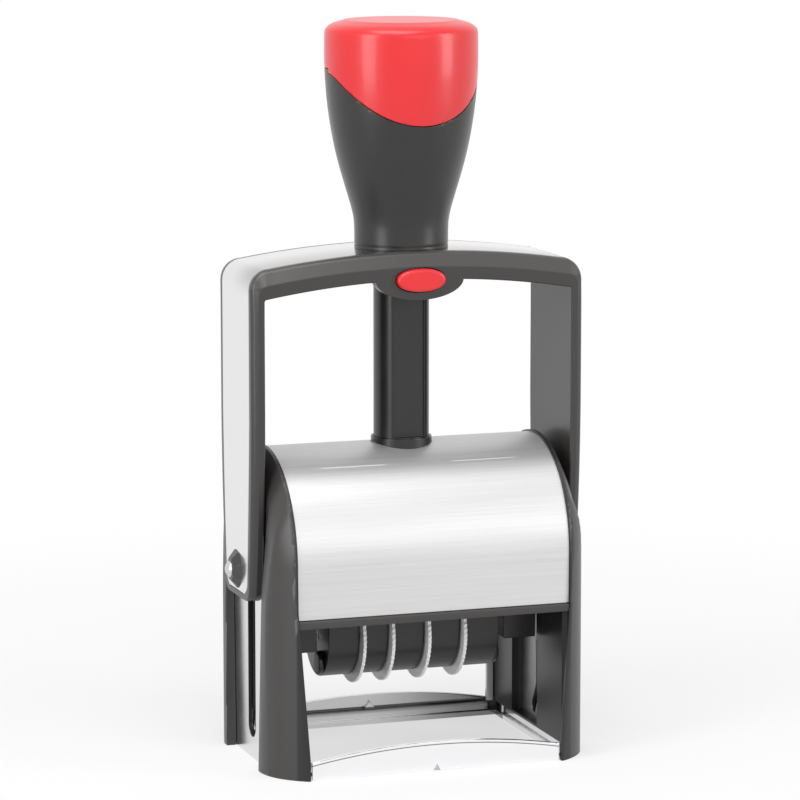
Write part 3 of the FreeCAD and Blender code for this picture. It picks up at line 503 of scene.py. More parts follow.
def strip_plate(colours):
    """Polished plate of the bow's strip, with a painted dark reflection towards the front of its top."""
    finish = Finish("polished strip")
    cloud = finish.noise(45, 3.0)
    # painted reflection: the strip's top is painted darker towards its front
    top = finish.fade(finish.axis("Z"), *STRIP_TOP_Z)
    front = finish.fade(finish.axis("Y"), *STRIP_FRONT_Y)
    plain = finish.shades(cloud, colours.chrome, 0.93, 0.98)
    base = finish.mix(top * front, plain, tint(colours.chrome, 0.52))
    return polished(finish, base, 0.16 + cloud.swing(0.06), SHEET)


def frame_plate(colours):
    """Bright plate of the base frame, a lighter copy of the chrome, with a painted dark reflection on its
    rear bar and painted shade on its ledge.

    A painted shade line follows the arched edge of the front bar, which has a small triangle in its middle.
    """
    finish = Finish("bright base plate")
    across, depth, height = (finish.axis(letter) for letter in "XYZ")
    # painted reflection: the rear bar darkens from left to right, as if mirroring the dark inside
    bar = finish.shades(finish.fade(across, *REAR_BAR_X), colours.chrome, 0.88, 0.28)
    # painted shade along the ledge at the foot of the rear bar
    ledge = finish.mix(finish.fade(height, *LEDGE_Z, "LINEAR"), bar, tint(colours.chrome, 0.14))
    shade = finish.mix(height < LEDGE_TOP_Z * MM, bar, ledge)
    reach = apart(across, height + (BAR_ARCH_RADIUS - BAR_MIDDLE_Z) * MM)
    # painted shade line under the front bar's arched edge
    line = abs(reach - (BAR_ARCH_RADIUS - BAR_LINE_DROP) * MM) < BAR_LINE_HALF * MM
    mark = abs(across) + height * MARK_SLOPE < MARK_HALF * MM
    # the rest of the plate is painted a lighter copy of the chrome; the triangle is a real mark
    bright = finish.mix(mark, finish.shades(line, colours.chrome, 1.12, 0.3), tint(colours.chrome, 0.72))
    base = finish.mix(depth > REAR_BAR_Y * MM, bright, shade)
    return polished(finish, base, 0.16, SHEET, 0.9)


def slotted_plate(colours):
    """Satin plate of the side plates, with painted shade on the cut edges of their slot."""
    finish = Finish("satin side plate")
    cloud = finish.noise(120, 3.0)
    height = finish.axis("Z")
    nearest = finish.node("ShaderNodeClamp", {}, {
        "Value": height, "Min": SLOT_Z[0] * MM, "Max": SLOT_Z[1] * MM})
    # painted shade: the slot's cut edges are painted near black and made dull
    slot_shade = apart(finish.axis("Y"), height - nearest) < (SLOT_HALF + SLOT_SHADE_SPARE) * MM
    plain = finish.shades(cloud, colours.chrome, 0.90, 0.97)
    return polished(finish, finish.mix(slot_shade, plain, tint(colours.black, 0.6)),
                    0.22 + slot_shade * 0.3 + cloud.swing(0.06), UPRIGHT, 1 - slot_shade)


def pale_plate(colours):
    """Dull plated sheet of the rear uprights."""
    finish = Finish("dull plated sheet")
    cloud = finish.noise(200, 3.0)
    return finish.done(Base_Color=finish.shades(cloud, colours.chrome, 0.9, 1.0), Metallic=0.35,
                       Roughness=0.45 + cloud.swing(0.1),
                       Normal=finish.bump(finish.noise(3500), 0.08, 0.02))


def bright_steel(colours):
    """Zinc-plated steel, slightly clouded."""
    finish = Finish("bright plated steel")
    cloud = finish.noise(260, 4.0)
    return finish.done(Base_Color=finish.shades(cloud, colours.steel, 0.9, 1.1), Metallic=1.0,
                       Roughness=0.26 + cloud.swing(0.12),
                       Normal=finish.bump(finish.noise(3500), 0.08, 0.02))


def cam_steel(colours):
    """Plated steel on the face that looks inwards, with the face behind the side plate painted dark as
    shade.
    """
    finish = Finish("cam plate steel")
    cloud = finish.noise(90)
    # painted shade: the outer face, seen through the side plate's slot, is painted near black and not
    # metallic
    outside = abs(finish.axis("X")) > (high("cam_plate_right").x - CAM_OUTER_SKIN) * MM
    steel = finish.shades(cloud, colours.steel, 0.66, 0.74)
    return finish.done(Base_Color=finish.mix(outside, steel, tint(colours.black, 0.6)),
                       Metallic=0.8 - outside * 0.8,
                       Roughness=0.42 + outside * 0.15 + cloud.swing(0.08))


def spring_steel(colours):
    """Drawn wire with lines around it."""
    finish = Finish("drawn wire")
    lines = finish.noise(2400, 2.0, (1, 1, 4))
    return finish.done(Base_Color=tint(colours.steel, 0.8), Metallic=1.0,
                       Roughness=0.28 + lines.swing(0.12))


def brushed_cover(colours):
    """Stainless sheet, brushed lengthwise: long fine lines along X in colour, gloss and relief."""
    finish = Finish("brushed sheet")
    lines = finish.noise(1.0, 3.0, (30, 2600, 2600))
    long_lines = finish.noise(1.0, 2.0, (9, 700, 700))
    return finish.done(Base_Color=finish.shades(finish.ramp(lines, 0.3, 0.7), colours.cover, 0.96, 1.04),
                       Metallic=0.76, Roughness=0.42 + lines.swing(0.08) + long_lines.swing(0.04),
                       Normal=finish.bump(lines, 0.06, 0.02))


def die_rubber(colours):
    """Matt engraved rubber with a dusty, ink-stained face."""
    finish = Finish("die rubber")
    stain = finish.ramp(finish.noise(190, 5.0), 0.38, 0.62)
    fine = finish.noise(3800, 3.0)
    return finish.done(Base_Color=finish.shades(stain, colours.rubber, 0.72, 1.1),
                       Roughness=0.66 + fine.swing(0.15), Normal=finish.bump(fine, 0.25, 0.05))


def band_rubber(colours):
    finish = Finish("band rubber")
    fine = finish.noise(3000, 3.0)
    return finish.done(Base_Color=finish.shades(fine, colours.band, 0.85, 1.15),
                       Roughness=0.58 + fine.swing(0.12), Normal=finish.bump(fine, 0.2, 0.04))


def wheel_plastic(colours):
    """Light grey plastic, a little yellowed and uneven."""
    finish = Finish("light moulded plastic")
    fine = finish.noise(4000)
    return finish.done(Base_Color=finish.shades(finish.noise(240, 3.0), colours.wheel, 0.93, 1.06),
                       Roughness=0.42 + fine.swing(0.1), Normal=finish.bump(fine, 0.08, 0.03))


def ink_felt(colours):
    """Ink-soaked felt: short fibres, wet patches."""
    finish = Finish("inked felt")
    fibre = finish.noise(2600, 5.0, (1, 1, 1), 0.7)
    wet = finish.noise(120, 3.0)
    return finish.done(Base_Color=finish.shades(fibre, colours.felt, 0.6, 1.8),
                       Roughness=0.75 - (wet - 0.4) * 0.5, Normal=finish.bump(fibre, 0.6, 0.1))


FINISHES = {maker.__name__: maker for maker in (
    charcoal_plastic, grip_plastic, black_plastic, red_plastic, bow_plastic, housing_plastic, chrome,
    strip_plate, frame_plate, slotted_plate, pale_plate, bright_steel, cam_steel, spring_steel,
    brushed_cover, die_rubber, band_rubber, wheel_plastic, ink_felt)}
made = {}


def finish_of(name):
    """The material of this name, made when it is first asked for."""
    if name not in made:
        made[name] = FINISHES[name](bpy.context.scene.stamp_colours)
    return made[name]


# ---------------------------------------------------------------- modelling
def pick(*pieces):
    """Selects these objects and nothing else."""
    bpy.ops.object.select_all(action="DESELECT")
    for piece in pieces:
        piece.select_set(True)
    bpy.context.view_layer.objects.active = pieces[0]


@contextmanager
def editing(piece, mode="VERT"):
    """Edit mode with everything selected."""
    pick(piece)
    bpy.ops.object.mode_set(mode="EDIT")
    bpy.ops.mesh.select_mode(type=mode)
    bpy.ops.mesh.select_all(action="SELECT")
    yield
    bpy.ops.object.mode_set(mode="OBJECT")


def take(name):
    """Names the new active object and settles its place into its mesh."""
    piece = bpy.context.object
    piece.name = name
    bpy.ops.object.transform_apply(location=True, rotation=True, scale=True)
    return piece


def choose(piece, wanted):
    """In edit mode, selects just the vertices whose place, in millimetres, is wanted."""
    mesh = bmesh.from_edit_mesh(piece.data)
    for vertex in mesh.verts:
        vertex.select = wanted(vertex.co / MM)
    mesh.select_flush_mode()
    mesh.select_flush(False)
    mesh.select_flush(True)
    bmesh.update_edit_mesh(piece.data)


def trace(name, points):
    """A chain of edges through points in millimetres, drawn by extruding one vertex."""
    bpy.ops.object.select_all(action="DESELECT")
    points = [Vector(point) * MM for point in points]
    bpy.ops.mesh.primitive_plane_add(size=MM, location=points[0])
    piece = take(name)
    with editing(piece):
        bpy.ops.mesh.merge(type="CENTER")
        for start, end in zip(points, points[1:]):
            bpy.ops.mesh.extrude_region_move(TRANSFORM_OT_translate={"value": end - start})
    return piece


def close_up():
    """In edit mode, merges doubles and turns every face outwards."""
    bpy.ops.mesh.select_all(action="SELECT")
    bpy.ops.mesh.remove_doubles(threshold=WELD * MM)
    bpy.ops.mesh.normals_make_consistent(inside=False)


def prism(name, outline, depth):
    """A block with a drawn outline, pushed along a depth vector in millimetres."""
    piece = trace(name, outline)
    with editing(piece):
        bpy.ops.mesh.edge_face_add()
        bpy.ops.mesh.extrude_region_move(TRANSFORM_OT_translate={"value": Vector(depth) * MM})
        close_up()
    return piece


def lathe(name, profile):
    """A turned shape: a profile of points spun once around the Z axis."""
    piece = trace(name, profile)
    with editing(piece):
        bpy.ops.mesh.spin(steps=SPIN_STEPS, angle=math.tau, center=(0, 0, 0), axis=(0, 0, 1))
        close_up()
    return piece


def loft(name, sections):
    """A closed shape through closed sections of as many points each.

    Chains that run from section to section are bridged in pairs, and the ends are capped.
    """
    rows = list(zip(*sections))
    chains = [trace(name, row) for row in rows]
    pick(*chains)
    bpy.ops.object.join()
    piece = chains[0]
    with editing(piece, "EDGE"):
        for place in range(len(rows)):
            pair = (place, (place + 1) % len(rows))
            bpy.ops.mesh.select_all(action="DESELECT")
            mesh = bmesh.from_edit_mesh(piece.data)
            mesh.verts.index_update()
            for line in mesh.edges:
                first, second = (corner.index // len(sections) for corner in line.verts)
                line.select = first == second and first in pair
            bmesh.update_edit_mesh(piece.data)
            bpy.ops.mesh.bridge_edge_loops(type="SINGLE")
        for ring in (sections[0], sections[-1]):
            corners = [Vector(point) for point in ring]
            choose(piece, lambda co: min((co - corner).length for corner in corners) < WELD)
            bpy.ops.mesh.edge_face_add()
        close_up()
    return piece


def strip(name, inner, outer, depth):
    """A thick bent strip: faces between two chains of as many points, pushed along a depth."""
    piece = trace(name, inner)
    far = trace(name + "_far", outer)
    pick(piece, far)
    bpy.ops.object.join()
    with editing(piece, "EDGE"):
        bpy.ops.mesh.bridge_edge_loops()
        bpy.ops.mesh.select_all(action="SELECT")
        bpy.ops.mesh.extrude_region_move(TRANSFORM_OT_translate={"value": Vector(depth) * MM})
        close_up()
    return piece


def rod(name, start, end, radius, sides=48):
    """A closed cylinder from start to end, as a tool or a start."""
    start, end = Vector(start), Vector(end)
    turn = (end - start).to_track_quat("Z", "Y").to_euler()
    bpy.ops.object.select_all(action="DESELECT")
    bpy.ops.mesh.primitive_cylinder_add(vertices=sides, radius=radius * MM, depth=(end - start).length * MM,
                                        location=(start + end) / 2 * MM, rotation=turn)
    return take(name)


def upright_rod(name, bottom, top, radius, sides=48):
    """A rod up the middle of the stamp."""
    return rod(name, (0, 0, bottom), (0, 0, top), radius, sides)


def axle_rod(name, side, start, end, radius, sides=48):
    """A rod along the axle on one side, from start to end."""
    return rod(name, (side * start, 0, AXLE_Z), (side * end, 0, AXLE_Z), radius, sides)


def block(name, low_corner, high_corner):
    """A closed box between two corners, as a tool or a start."""
    a, b = Vector(low_corner), Vector(high_corner)
    bpy.ops.object.select_all(action="DESELECT")
    bpy.ops.mesh.primitive_cube_add(size=MM, location=(a + b) / 2 * MM)
    bpy.context.object.scale = b - a
    return take(name)


def combine(piece, tool, operation="DIFFERENCE"):
    """Cuts, joins or keeps what two closed pieces share. The tool is used up."""
    pick(piece)
    bpy.ops.object.modifier_add(type="BOOLEAN")
    change = piece.modifiers[-1]
    change.operation = operation
    change.solver = "MANIFOLD"
    change.object = tool
    bpy.ops.object.modifier_apply(modifier=change.name)
    bpy.data.objects.remove(tool)
    return piece


def soften(piece, width, segments=2, angle=35):
    """Rounds the edges that turn by more than an angle."""
    pick(piece)
    bpy.ops.object.modifier_add(type="BEVEL")
    bevel = piece.modifiers[-1]
    bevel.width = width
    bevel.segments = segments
    bevel.limit_method = "ANGLE"
    bevel.angle_limit = math.radians(angle)
    bevel.use_clamp_overlap = False
    bevel.miter_outer = "MITER_ARC"
    bpy.ops.object.modifier_apply(modifier=bevel.name)
    return piece


def refined(node, width=0):
    """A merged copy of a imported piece, with its edges rounded where a width is given."""
    pick(frame["nodes"][node])
    bpy.ops.object.duplicate()
    piece = bpy.context.object
    bpy.ops.object.parent_clear(type="CLEAR_KEEP_TRANSFORM")
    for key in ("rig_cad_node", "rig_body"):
        del piece[key]
    piece.name = node + PIECE_SUFFIX
    with editing(piece):
        bpy.ops.mesh.remove_doubles(threshold=WELD * MM)
    return soften(piece, width) if width else piece


def settle(piece, node, angle=32, finish=None):
    """Shades a finished piece, gives it the finish and body of the node it stands for, and hides that node.
    """
    pick(piece)
    bpy.ops.object.transform_apply(location=True, rotation=True, scale=True)
    bpy.ops.object.shade_smooth_by_angle(angle=math.radians(angle))
    bpy.ops.object.modifier_add(type="WEIGHTED_NORMAL")
    piece.modifiers[-1].keep_sharp = True
    bpy.ops.object.modifier_apply(modifier=piece.modifiers[-1].name)
    piece.data.materials.clear()
    piece.data.materials.append(finish_of(finish or SLOT_OF[node]))
    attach(piece, BODY_OF[node])
    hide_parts(node)


def refine(width, *nodes, finish=None):
    """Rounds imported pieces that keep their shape, and settles them."""
    for node in nodes:
        settle(refined(node, width), node, finish=finish)


# ---------------------------------------------------------------- curves
def circle_through(a, b, c):
    """Centre and radius of the circle through three plane points."""
    ax, ay = a
    bx, by = b
    cx, cy = c
    d = 2 * (ax * (by - cy) + bx * (cy - ay) + cx * (ay - by))
    a2, b2, c2 = ax ** 2 + ay ** 2, bx ** 2 + by ** 2, cx ** 2 + cy ** 2
    x = (a2 * (by - cy) + b2 * (cy - ay) + c2 * (ay - by)) / d
    y = (a2 * (cx - bx) + b2 * (ax - cx) + c2 * (bx - ax)) / d
    return (x, y), math.hypot(ax - x, ay - y)


def smooth(points, steps):
    """Points on a soft curve that passes through all the given plane points."""
    ends = [points[0]] + list(points) + [points[-1]]
    curve = []
    for a, b, c, d in zip(ends, ends[1:], ends[2:], ends[3:]):
        for step in range(steps):
            t = step / steps
            curve.append(tuple(
                0.5 * (2 * q + (r - p) * t + (2 * p - 5 * q + 4 * r - s) * t ** 2
                       + (3 * q - p - 3 * r + s) * t ** 3) for p, q, r, s in zip(a, b, c, d)))
    return curve + [points[-1]]


def along(places, z):
    """Value at a height, straight between the given places and held beyond the last."""
    for (z0, x0), (z1, x1) in zip(places, places[1:]):
        if z <= z1:
            return x0 + (x1 - x0) * (z - z0) / (z1 - z0)
    return places[-1][1]


def arch(half_width, top, radius, corner, rows):
    """Plane points from the left foot over a crowned top to the right foot."""
    shoulder = top - radius + math.sqrt(radius ** 2 - (half_width - corner) ** 2)
    half = [(-half_width, z) for z in rows]
    for turn in range(ARCH_TURNS + 1):
        angle = math.pi / 2 * turn / ARCH_TURNS
        half.append((-half_width + corner - corner * math.cos(angle),
                     shoulder - corner + corner * math.sin(angle)))
    edge = half_width - corner
    for span in range(1, ARCH_SPANS + 1):
        x = -edge + edge * span / ARCH_SPANS
        half.append((x, top - radius + math.sqrt(radius ** 2 - x ** 2)))
    return half + [(-x, z) for x, z in reversed(half[:-1])]


# ---------------------------------------------------------------- knob
def knob_line(inset, bottom):
    """Profile of the knob in X and Z, from its foot to the middle of its top."""
    curve = [(radius - inset, 0, z) for z, radius in smooth(GRIP_LINE, GRIP_LINE_STEPS)]
    crown = high("grip_cap").z - inset
    foot = GRIP_LINE[0][1] - inset
    seam = [(foot, 0, SEAM_HEIGHT - SEAM_HALF), (foot - SEAM_DEPTH, 0, SEAM_HEIGHT - SEAM_HALF / 2),
            (foot - SEAM_DEPTH, 0, SEAM_HEIGHT + SEAM_HALF / 2)]
    rim = [(CAP_RIM_RADIUS - inset, 0, crown), (0, 0, crown)]
    return [(0, 0, bottom), (foot, 0, bottom)] + seam + curve + rim


def shield(name, drop):
    """The space above the cap's curved front edge and its straight rear edge."""
    middle = CAP_FRONT_Z + CAP_FRONT_RADIUS
    reach = math.sqrt(CAP_FRONT_RADIUS ** 2 - (middle - CAP_REAR_Z) ** 2)
    swing = math.asin(reach / CAP_FRONT_RADIUS)
    arc = []
    for step in range(SHIELD_STEPS + 1):
        turn = swing * (2 * step / SHIELD_STEPS - 1)
        arc.append((CAP_FRONT_RADIUS * math.sin(turn), -PAST,
                    middle - CAP_FRONT_RADIUS * math.cos(turn) - drop))
    top, edge = high("grip_cap").z + CAP_TOP_SPARE, CAP_REAR_Z - drop
    outline = [(-PAST, -PAST, top), (-PAST, -PAST, edge)] + arc + [(PAST, -PAST, edge), (PAST, -PAST, top)]
    front = prism(name, outline, (0, PAST, 0))
    return combine(front, block(name + "_rear", (-PAST, -SHIELD_LAP, edge), (PAST, PAST, top)), "UNION")


class STAMP_OT_knob(bpy.types.Operator):
    """Waisted dark grip and the red cap seated over its top"""
    bl_idname = "stamp.knob"
    bl_label = "Knob"

    def execute(self, context):
        sizes = context.scene.stamp_sizes
        wall = sizes.cap_wall / MM
        bottom = low("grip_body").z
        core = lathe("knob_core", knob_line(wall, bottom))
        seat = combine(shield("cap_seat", sizes.cap_seam / MM), core)
        grip = lathe("knob_grip", knob_line(0.0, bottom))
        combine(grip, seat)
        combine(grip, strip_saddle())
        combine(grip, upright_rod("grip_bore", bottom - 1, GRIP_BORE_TOP_Z, GRIP_BORE))
        soften(grip, 0.4 * sizes.metal_edge, angle=40)
        settle(grip, "grip_body", finish="grip_plastic")

        cap = lathe("knob_cap", knob_line(0.0, bottom))
        inside = lathe("cap_inside", knob_line(wall - CAP_SEAT_GAP, bottom))
        combine(cap, shield("cap_keep", 0.0), "INTERSECT")
        combine(cap, inside)
        soften(cap, sizes.metal_edge, angle=40)
        settle(cap, "grip_cap", angle=11)
        return {"FINISHED"}


# ---------------------------------------------------------------- bow
def arm_rows(bottom, corner):
    """Heights at which the bow's arms are divided: closely round the foot's corner, then evenly."""
    first = bottom + corner
    foot = [first - corner * math.cos(math.radians(turn)) for turn in range(0, 90, 15)]
    arm = [first + (BOW_FULL[1] - first) * row / ARM_ROWS for row in range(ARM_ROWS + 1)]
    return foot + arm + ARM_TOP_ROWS


def strip_saddle():
    """The space below the strip's crowned top, to seat the knob on it."""
    chain = arch(BAND_X, BOW_TOP_Z, BOW_TOP_RADIUS, BOW_CORNER, [CROWN_Z[0]])
    return prism("saddle", [(x, -PAST, z) for x, z in chain], (0, 2 * PAST, 0))


def taper(piece, rows, full, foot, corner, margin):
    """Draws the arms in towards the foot on one arc, row by row, and rounds the foot's corners."""
    bottom = rows[0]
    waist = BOW_WAIST[0] - margin
    (cy, cz), radius = circle_through((foot, bottom), (waist, BOW_WAIST[1]), (full, BOW_FULL[1]))
    side = 1 if full > cy else -1
    with editing(piece):
        for z in rows:
            if z >= BOW_FULL[1] - ROW_HIT:
                continue
            half = cy + side * math.sqrt(radius ** 2 - (z - cz) ** 2)
            below = max(0.0, bottom + corner - z)
            half -= corner * (1 - math.cos(math.asin(min(1.0, below / corner))))
            choose(piece, lambda co: abs(co.z - z) < ROW_HIT)
            bpy.ops.transform.resize(value=(1, half / full, 1), center_override=(0, 0, z * MM))


def crown_strip(name, inner, outer, rows, full, foot):
    """A bent strip over the bow, tapered along its arms."""
    piece = strip(name, [(x, -full, z) for x, z in inner], [(x, -full, z) for x, z in outer],
                  (0, 2 * full, 0))
    taper(piece, rows, full, foot, BAND_FOOT_CORNER, STRIP_MARGIN)
    return piece


def quarter(radius, start, end):
    """Steps round a rounded edge: how far each point lies in from the two faces that meet there."""
    points = []
    for turn in range(EDGE_TURNS + 1):
        angle = math.radians(start + (end - start) * turn / EDGE_TURNS)
        points.append((radius * (1 - math.cos(angle)), radius * (1 - math.sin(angle))))
    return points


def bow_section(width, half, edge, front_edge, rear_edge):
    """Closed section of the bow: way out from the inner face and Y, the front's outer half leaning back."""
    inner_rear = [(out, half - back) for out, back in quarter(edge, 90, 0)]
    inner_front = [(out, back - half) for out, back in quarter(edge, 0, 90)]
    outer_front = [(width - back, out - half + FRONT_LEAN * max(0.0, width / 2 - back))
                   for out, back in quarter(front_edge, 0, 90)]
    outer_rear = [(width - back, half - out) for out, back in quarter(rear_edge, 90, 0)]
    return inner_rear + inner_front + [(width / 2, -half)] + outer_front + outer_rear


def bow_loft(name, inner, outer, edges):
    """The plain bow: one closed section carried along the arch from foot to foot."""
    sections = []
    for (ax, az), (bx, bz) in zip(inner, outer):
        width = math.hypot(bx - ax, bz - az)
        sections.append([(ax + (bx - ax) * out / width, y, az + (bz - az) * out / width)
                         for out, y in bow_section(width, BOW_FULL[0], *edges)])
    return loft(name, sections)


def oval_block(name, half, front, back):
    """A flat block with a full, rounded outline that faces the user at the button's height."""
    outline = []
    for step in range(OVAL_STEPS):
        turn = math.tau * step / OVAL_STEPS
        x, z = (reach * math.copysign(abs(share) ** (2 / OVAL_FULLNESS), share)
                for reach, share in zip(half, (math.cos(turn), math.sin(turn))))
        outline.append((x, front, BUTTON_Z + z))
    return prism(name, outline, (0, back - front, 0))


def button_boss(edge):
    """Oval boss in the middle of the bow, flat on top."""
    boss = rod("boss", (0, BOSS_Y[0], BUTTON_Z), (0, BOSS_Y[1], BUTTON_Z), 1.0, 96)
    with editing(boss):
        bpy.ops.transform.resize(value=(BOSS_HALF[0], 1, BOSS_HALF[1]),
                                 center_override=(0, 0, BUTTON_Z * MM))
    soften(boss, edge, 3, 50)
    return combine(boss, block("boss_top", (-PAST, -PAST, BOSS_TOP_Z), (PAST, 0, CROWN_Z[1])))


def axle_hub(side):
    """Faceted boss around the axle, through the strip's window."""
    middle = (0, 0, AXLE_Z * MM)
    hub = axle_rod("hub", side, BAND_X - HUB_SINK, HUB_TIP_X, HUB_RADIUS, HUB_SIDES)
    with editing(hub):
        bpy.ops.transform.rotate(value=math.pi / HUB_SIDES, orient_axis="X", center_override=middle)
        choose(hub, lambda co: abs(co.x) > BAND_X)
        share = HUB_TIP_RADIUS / HUB_RADIUS
        bpy.ops.transform.resize(value=(1, share, share), center_override=middle)
    soften(hub, HUB_EDGE * MM, angle=20)
    root = axle_rod("hub_root", side, BAND_X - BAND - HUB_ROOT_DEPTH, BAND_X, HUB_WINDOW - HUB_ROOT_GAP)
    return combine(hub, root, "UNION")


class STAMP_OT_bow(bpy.types.Operator):
    """Dark bow with rounded edges, button boss and axle hubs, under its plated strip"""
    bl_idname = "stamp.bow"
    bl_label = "Bow"

    def execute(self, context):
        sizes = context.scene.stamp_sizes
        rows = arm_rows(low("bow_frame").z, BOW_FOOT_CORNER)
        outer = arch(BOW_X, BOW_TOP_Z - BAND_PROUD, BOW_TOP_RADIUS, BOW_CORNER, rows)
        inner = arch(BOW_INNER_X, BOW_INNER_TOP_Z, BOW_INNER_RADIUS, BOW_INNER_CORNER, rows)
        edges = [edge / MM for edge in (sizes.plastic_edge, sizes.bow_edge, sizes.bow_rear_edge)]
        bow = bow_loft("bow", inner, outer, edges)
        taper(bow, rows, BOW_FULL[0], BOW_FOOT_HALF_DEPTH, BOW_FOOT_CORNER, 0)
        rows = arm_rows(low("bow_band").z, BAND_FOOT_CORNER)
        full = BOW_FULL[0] - STRIP_MARGIN
        foot = BOW_FOOT_HALF_DEPTH - STRIP_FOOT_MARGIN
        seat = arch(BAND_X - BAND, BOW_TOP_Z - BAND, BOW_TOP_RADIUS - BAND, BOW_CORNER - BAND, rows)
        over = arch(BAND_X + 1, BOW_TOP_Z + 1, BOW_TOP_RADIUS, BOW_CORNER, rows)
        combine(bow, crown_strip("inlay", seat, over, rows, full + STRIP_GAP, foot + STRIP_GAP))
        combine(bow, button_boss(0.7 * sizes.plastic_edge), "UNION")
        for side in (-1, 1):
            combine(bow, axle_hub(side), "UNION")
            combine(bow, axle_rod("bore", side, *AXLE_BORE_X, AXLE_BORE))
        combine(bow, upright_rod("guide", *CROWN_Z, GUIDE_RADIUS, 72))
        combine(bow, oval_block("well", [reach + WELL_GAP for reach in BUTTON_HALF], *WELL_Y))
        settle(bow, "bow_frame", angle=16, finish="bow_plastic")

        outer = arch(BAND_X, BOW_TOP_Z, BOW_TOP_RADIUS, BOW_CORNER, rows)
        band = crown_strip("bow_strip", seat, outer, rows, full, foot)
        soften(band, 1.5 * sizes.metal_edge, angle=50)
        for side in (-1, 1):
            combine(band, axle_rod("hub_window", side, *HUB_WINDOW_X, HUB_WINDOW, 64))
        combine(band, upright_rod("column_way", *CROWN_Z, COLUMN_WAY))
        settle(band, "bow_band", finish="strip_plate")
        return {"FINISHED"}


# ---------------------------------------------------------------- lock button
class STAMP_OT_button(bpy.types.Operator):
    """Red lock button: a full oval with a flat face, a rounded rim and a stem behind it"""
    bl_idname = "stamp.button"
    bl_label = "Lock button"

    def execute(self, context):
        face = low("lock_button").y
        back = face + BUTTON_THICKNESS
        button = oval_block("lock_button_face", BUTTON_HALF, face, back + BUTTON_RIM_SPARE)
        soften(button, context.scene.stamp_sizes.button_rim, 5, 50)
        combine(button, block("button_back", (-PAST, back, CROWN_Z[0]), (PAST, PAST, CROWN_Z[1])))
        half_x, half_z = STEM_HALF
        stem = block("stem", (-half_x, back - STEM_LAP, BUTTON_Z - half_z),
                     (half_x, high("lock_button").y, BUTTON_Z + half_z))
        combine(button, stem, "UNION")
        settle(button, "lock_button")
        return {"FINISHED"}


# ---------------------------------------------------------------- cover
class STAMP_OT_cover(bpy.types.Operator):
    """Curved brushed cover with a straight front skirt and two fine pressed creases"""
    bl_idname = "stamp.cover"
    bl_label = "Cover"

    def execute(self, context):
        sizes = context.scene.stamp_sizes
        crease = sizes.crease / MM
        radius = -low("cover").y
        half = high("cover").x
        swing = 180 - COVER_REAR_ANGLE
        angles = [COVER_REAR_ANGLE + swing * step / COVER_STEPS for step in range(COVER_STEPS + 1)]
        for middle in CREASE_ANGLES:
            angles += [middle - CREASE_HALF_WIDTH, middle, middle + CREASE_HALF_WIDTH]
        outer, inner = [], []
        for angle in sorted(set(angles)):
            turn = math.radians(angle)
            lift = crease if angle in CREASE_ANGLES else 0.0
            for chain, reach in ((outer, radius + lift), (inner, radius - COVER_WALL)):
                chain.append((-half, reach * math.cos(turn), COVER_CENTRE_Z + reach * math.sin(turn)))
        for chain, y in ((outer, -radius), (inner, -radius + COVER_WALL)):
            chain.append((-half, y, low("cover").z))
        cover = strip("cover_sheet", inner, outer, (2 * half, 0, 0))
        with editing(cover):
            for x in (CREASE_GAP, CREASE_GAP + CREASE_RUN, CREASE_END, CREASE_END + CREASE_RUN):
                for place in (-x, x):
                    bpy.ops.mesh.select_all(action="SELECT")
                    bpy.ops.mesh.bisect(plane_co=(place * MM, 0, 0), plane_no=(1, 0, 0))
            start, end = CREASE_GAP + CREASE_RUN / 2, CREASE_END + CREASE_RUN / 2
            for middle in CREASE_ANGLES:
                out = Vector((0, math.cos(math.radians(middle)), math.sin(math.radians(middle))))
                peak = out * (radius + crease) + Vector((0, 0, COVER_CENTRE_Z))
                choose(cover, lambda co: not start < abs(co.x) < end
                       and (Vector((0, co.y, co.z)) - peak).length < 0.4 * crease)
                bpy.ops.transform.translate(value=-out * crease * MM)
        combine(cover, upright_rod("collar_way", *COLLAR_WAY_Z, COLLAR_WAY, 72))
        soften(cover, sizes.metal_edge, angle=40)
        settle(cover, "cover", angle=25)
        return {"FINISHED"}


# ---------------------------------------------------------------- side housings
def skin_x(y, z):
    """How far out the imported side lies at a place, from the legs' rounded plan and sloping side."""
    reach = PLAN_RADIUS ** 2 - (abs(y) - PLAN_CENTRE[1]) ** 2
    plan = PLAN_CENTRE[0] + math.sqrt(max(0.0, reach)) if abs(y) > PLAN_CENTRE[1] else LEG_SKIN[0][1]
    return min(plan, along(LEG_SKIN, z)) - SKIN_SHAVE


def side_stations():
    """Places along the housing's side outline, front foot to rear foot, each with its way outwards."""
    lean = math.atan2(LEG_FOOT_Y - ARCH_RADIUS, COVER_CENTRE_Z)
    leg = []
    for step in range(LEG_STEPS):
        z = LEG_START_Z + (COVER_CENTRE_Z - LEG_START_Z) * step / LEG_STEPS
        leg.append(((-LEG_FOOT_Y + math.tan(lean) * z, z), (-math.cos(lean), math.sin(lean))))
    arc = []
    for step in range(ARC_STEPS + 1):
        turn = math.pi * (1 - step / ARC_STEPS)
        way = (math.cos(turn), math.sin(turn))
        arc.append(((ARCH_RADIUS * way[0], COVER_CENTRE_Z + ARCH_RADIUS * way[1]), way))
    rear = [((-y, z), (-way_y, way_z)) for (y, z), (way_y, way_z) in reversed(leg)]
    return leg + arc + rear


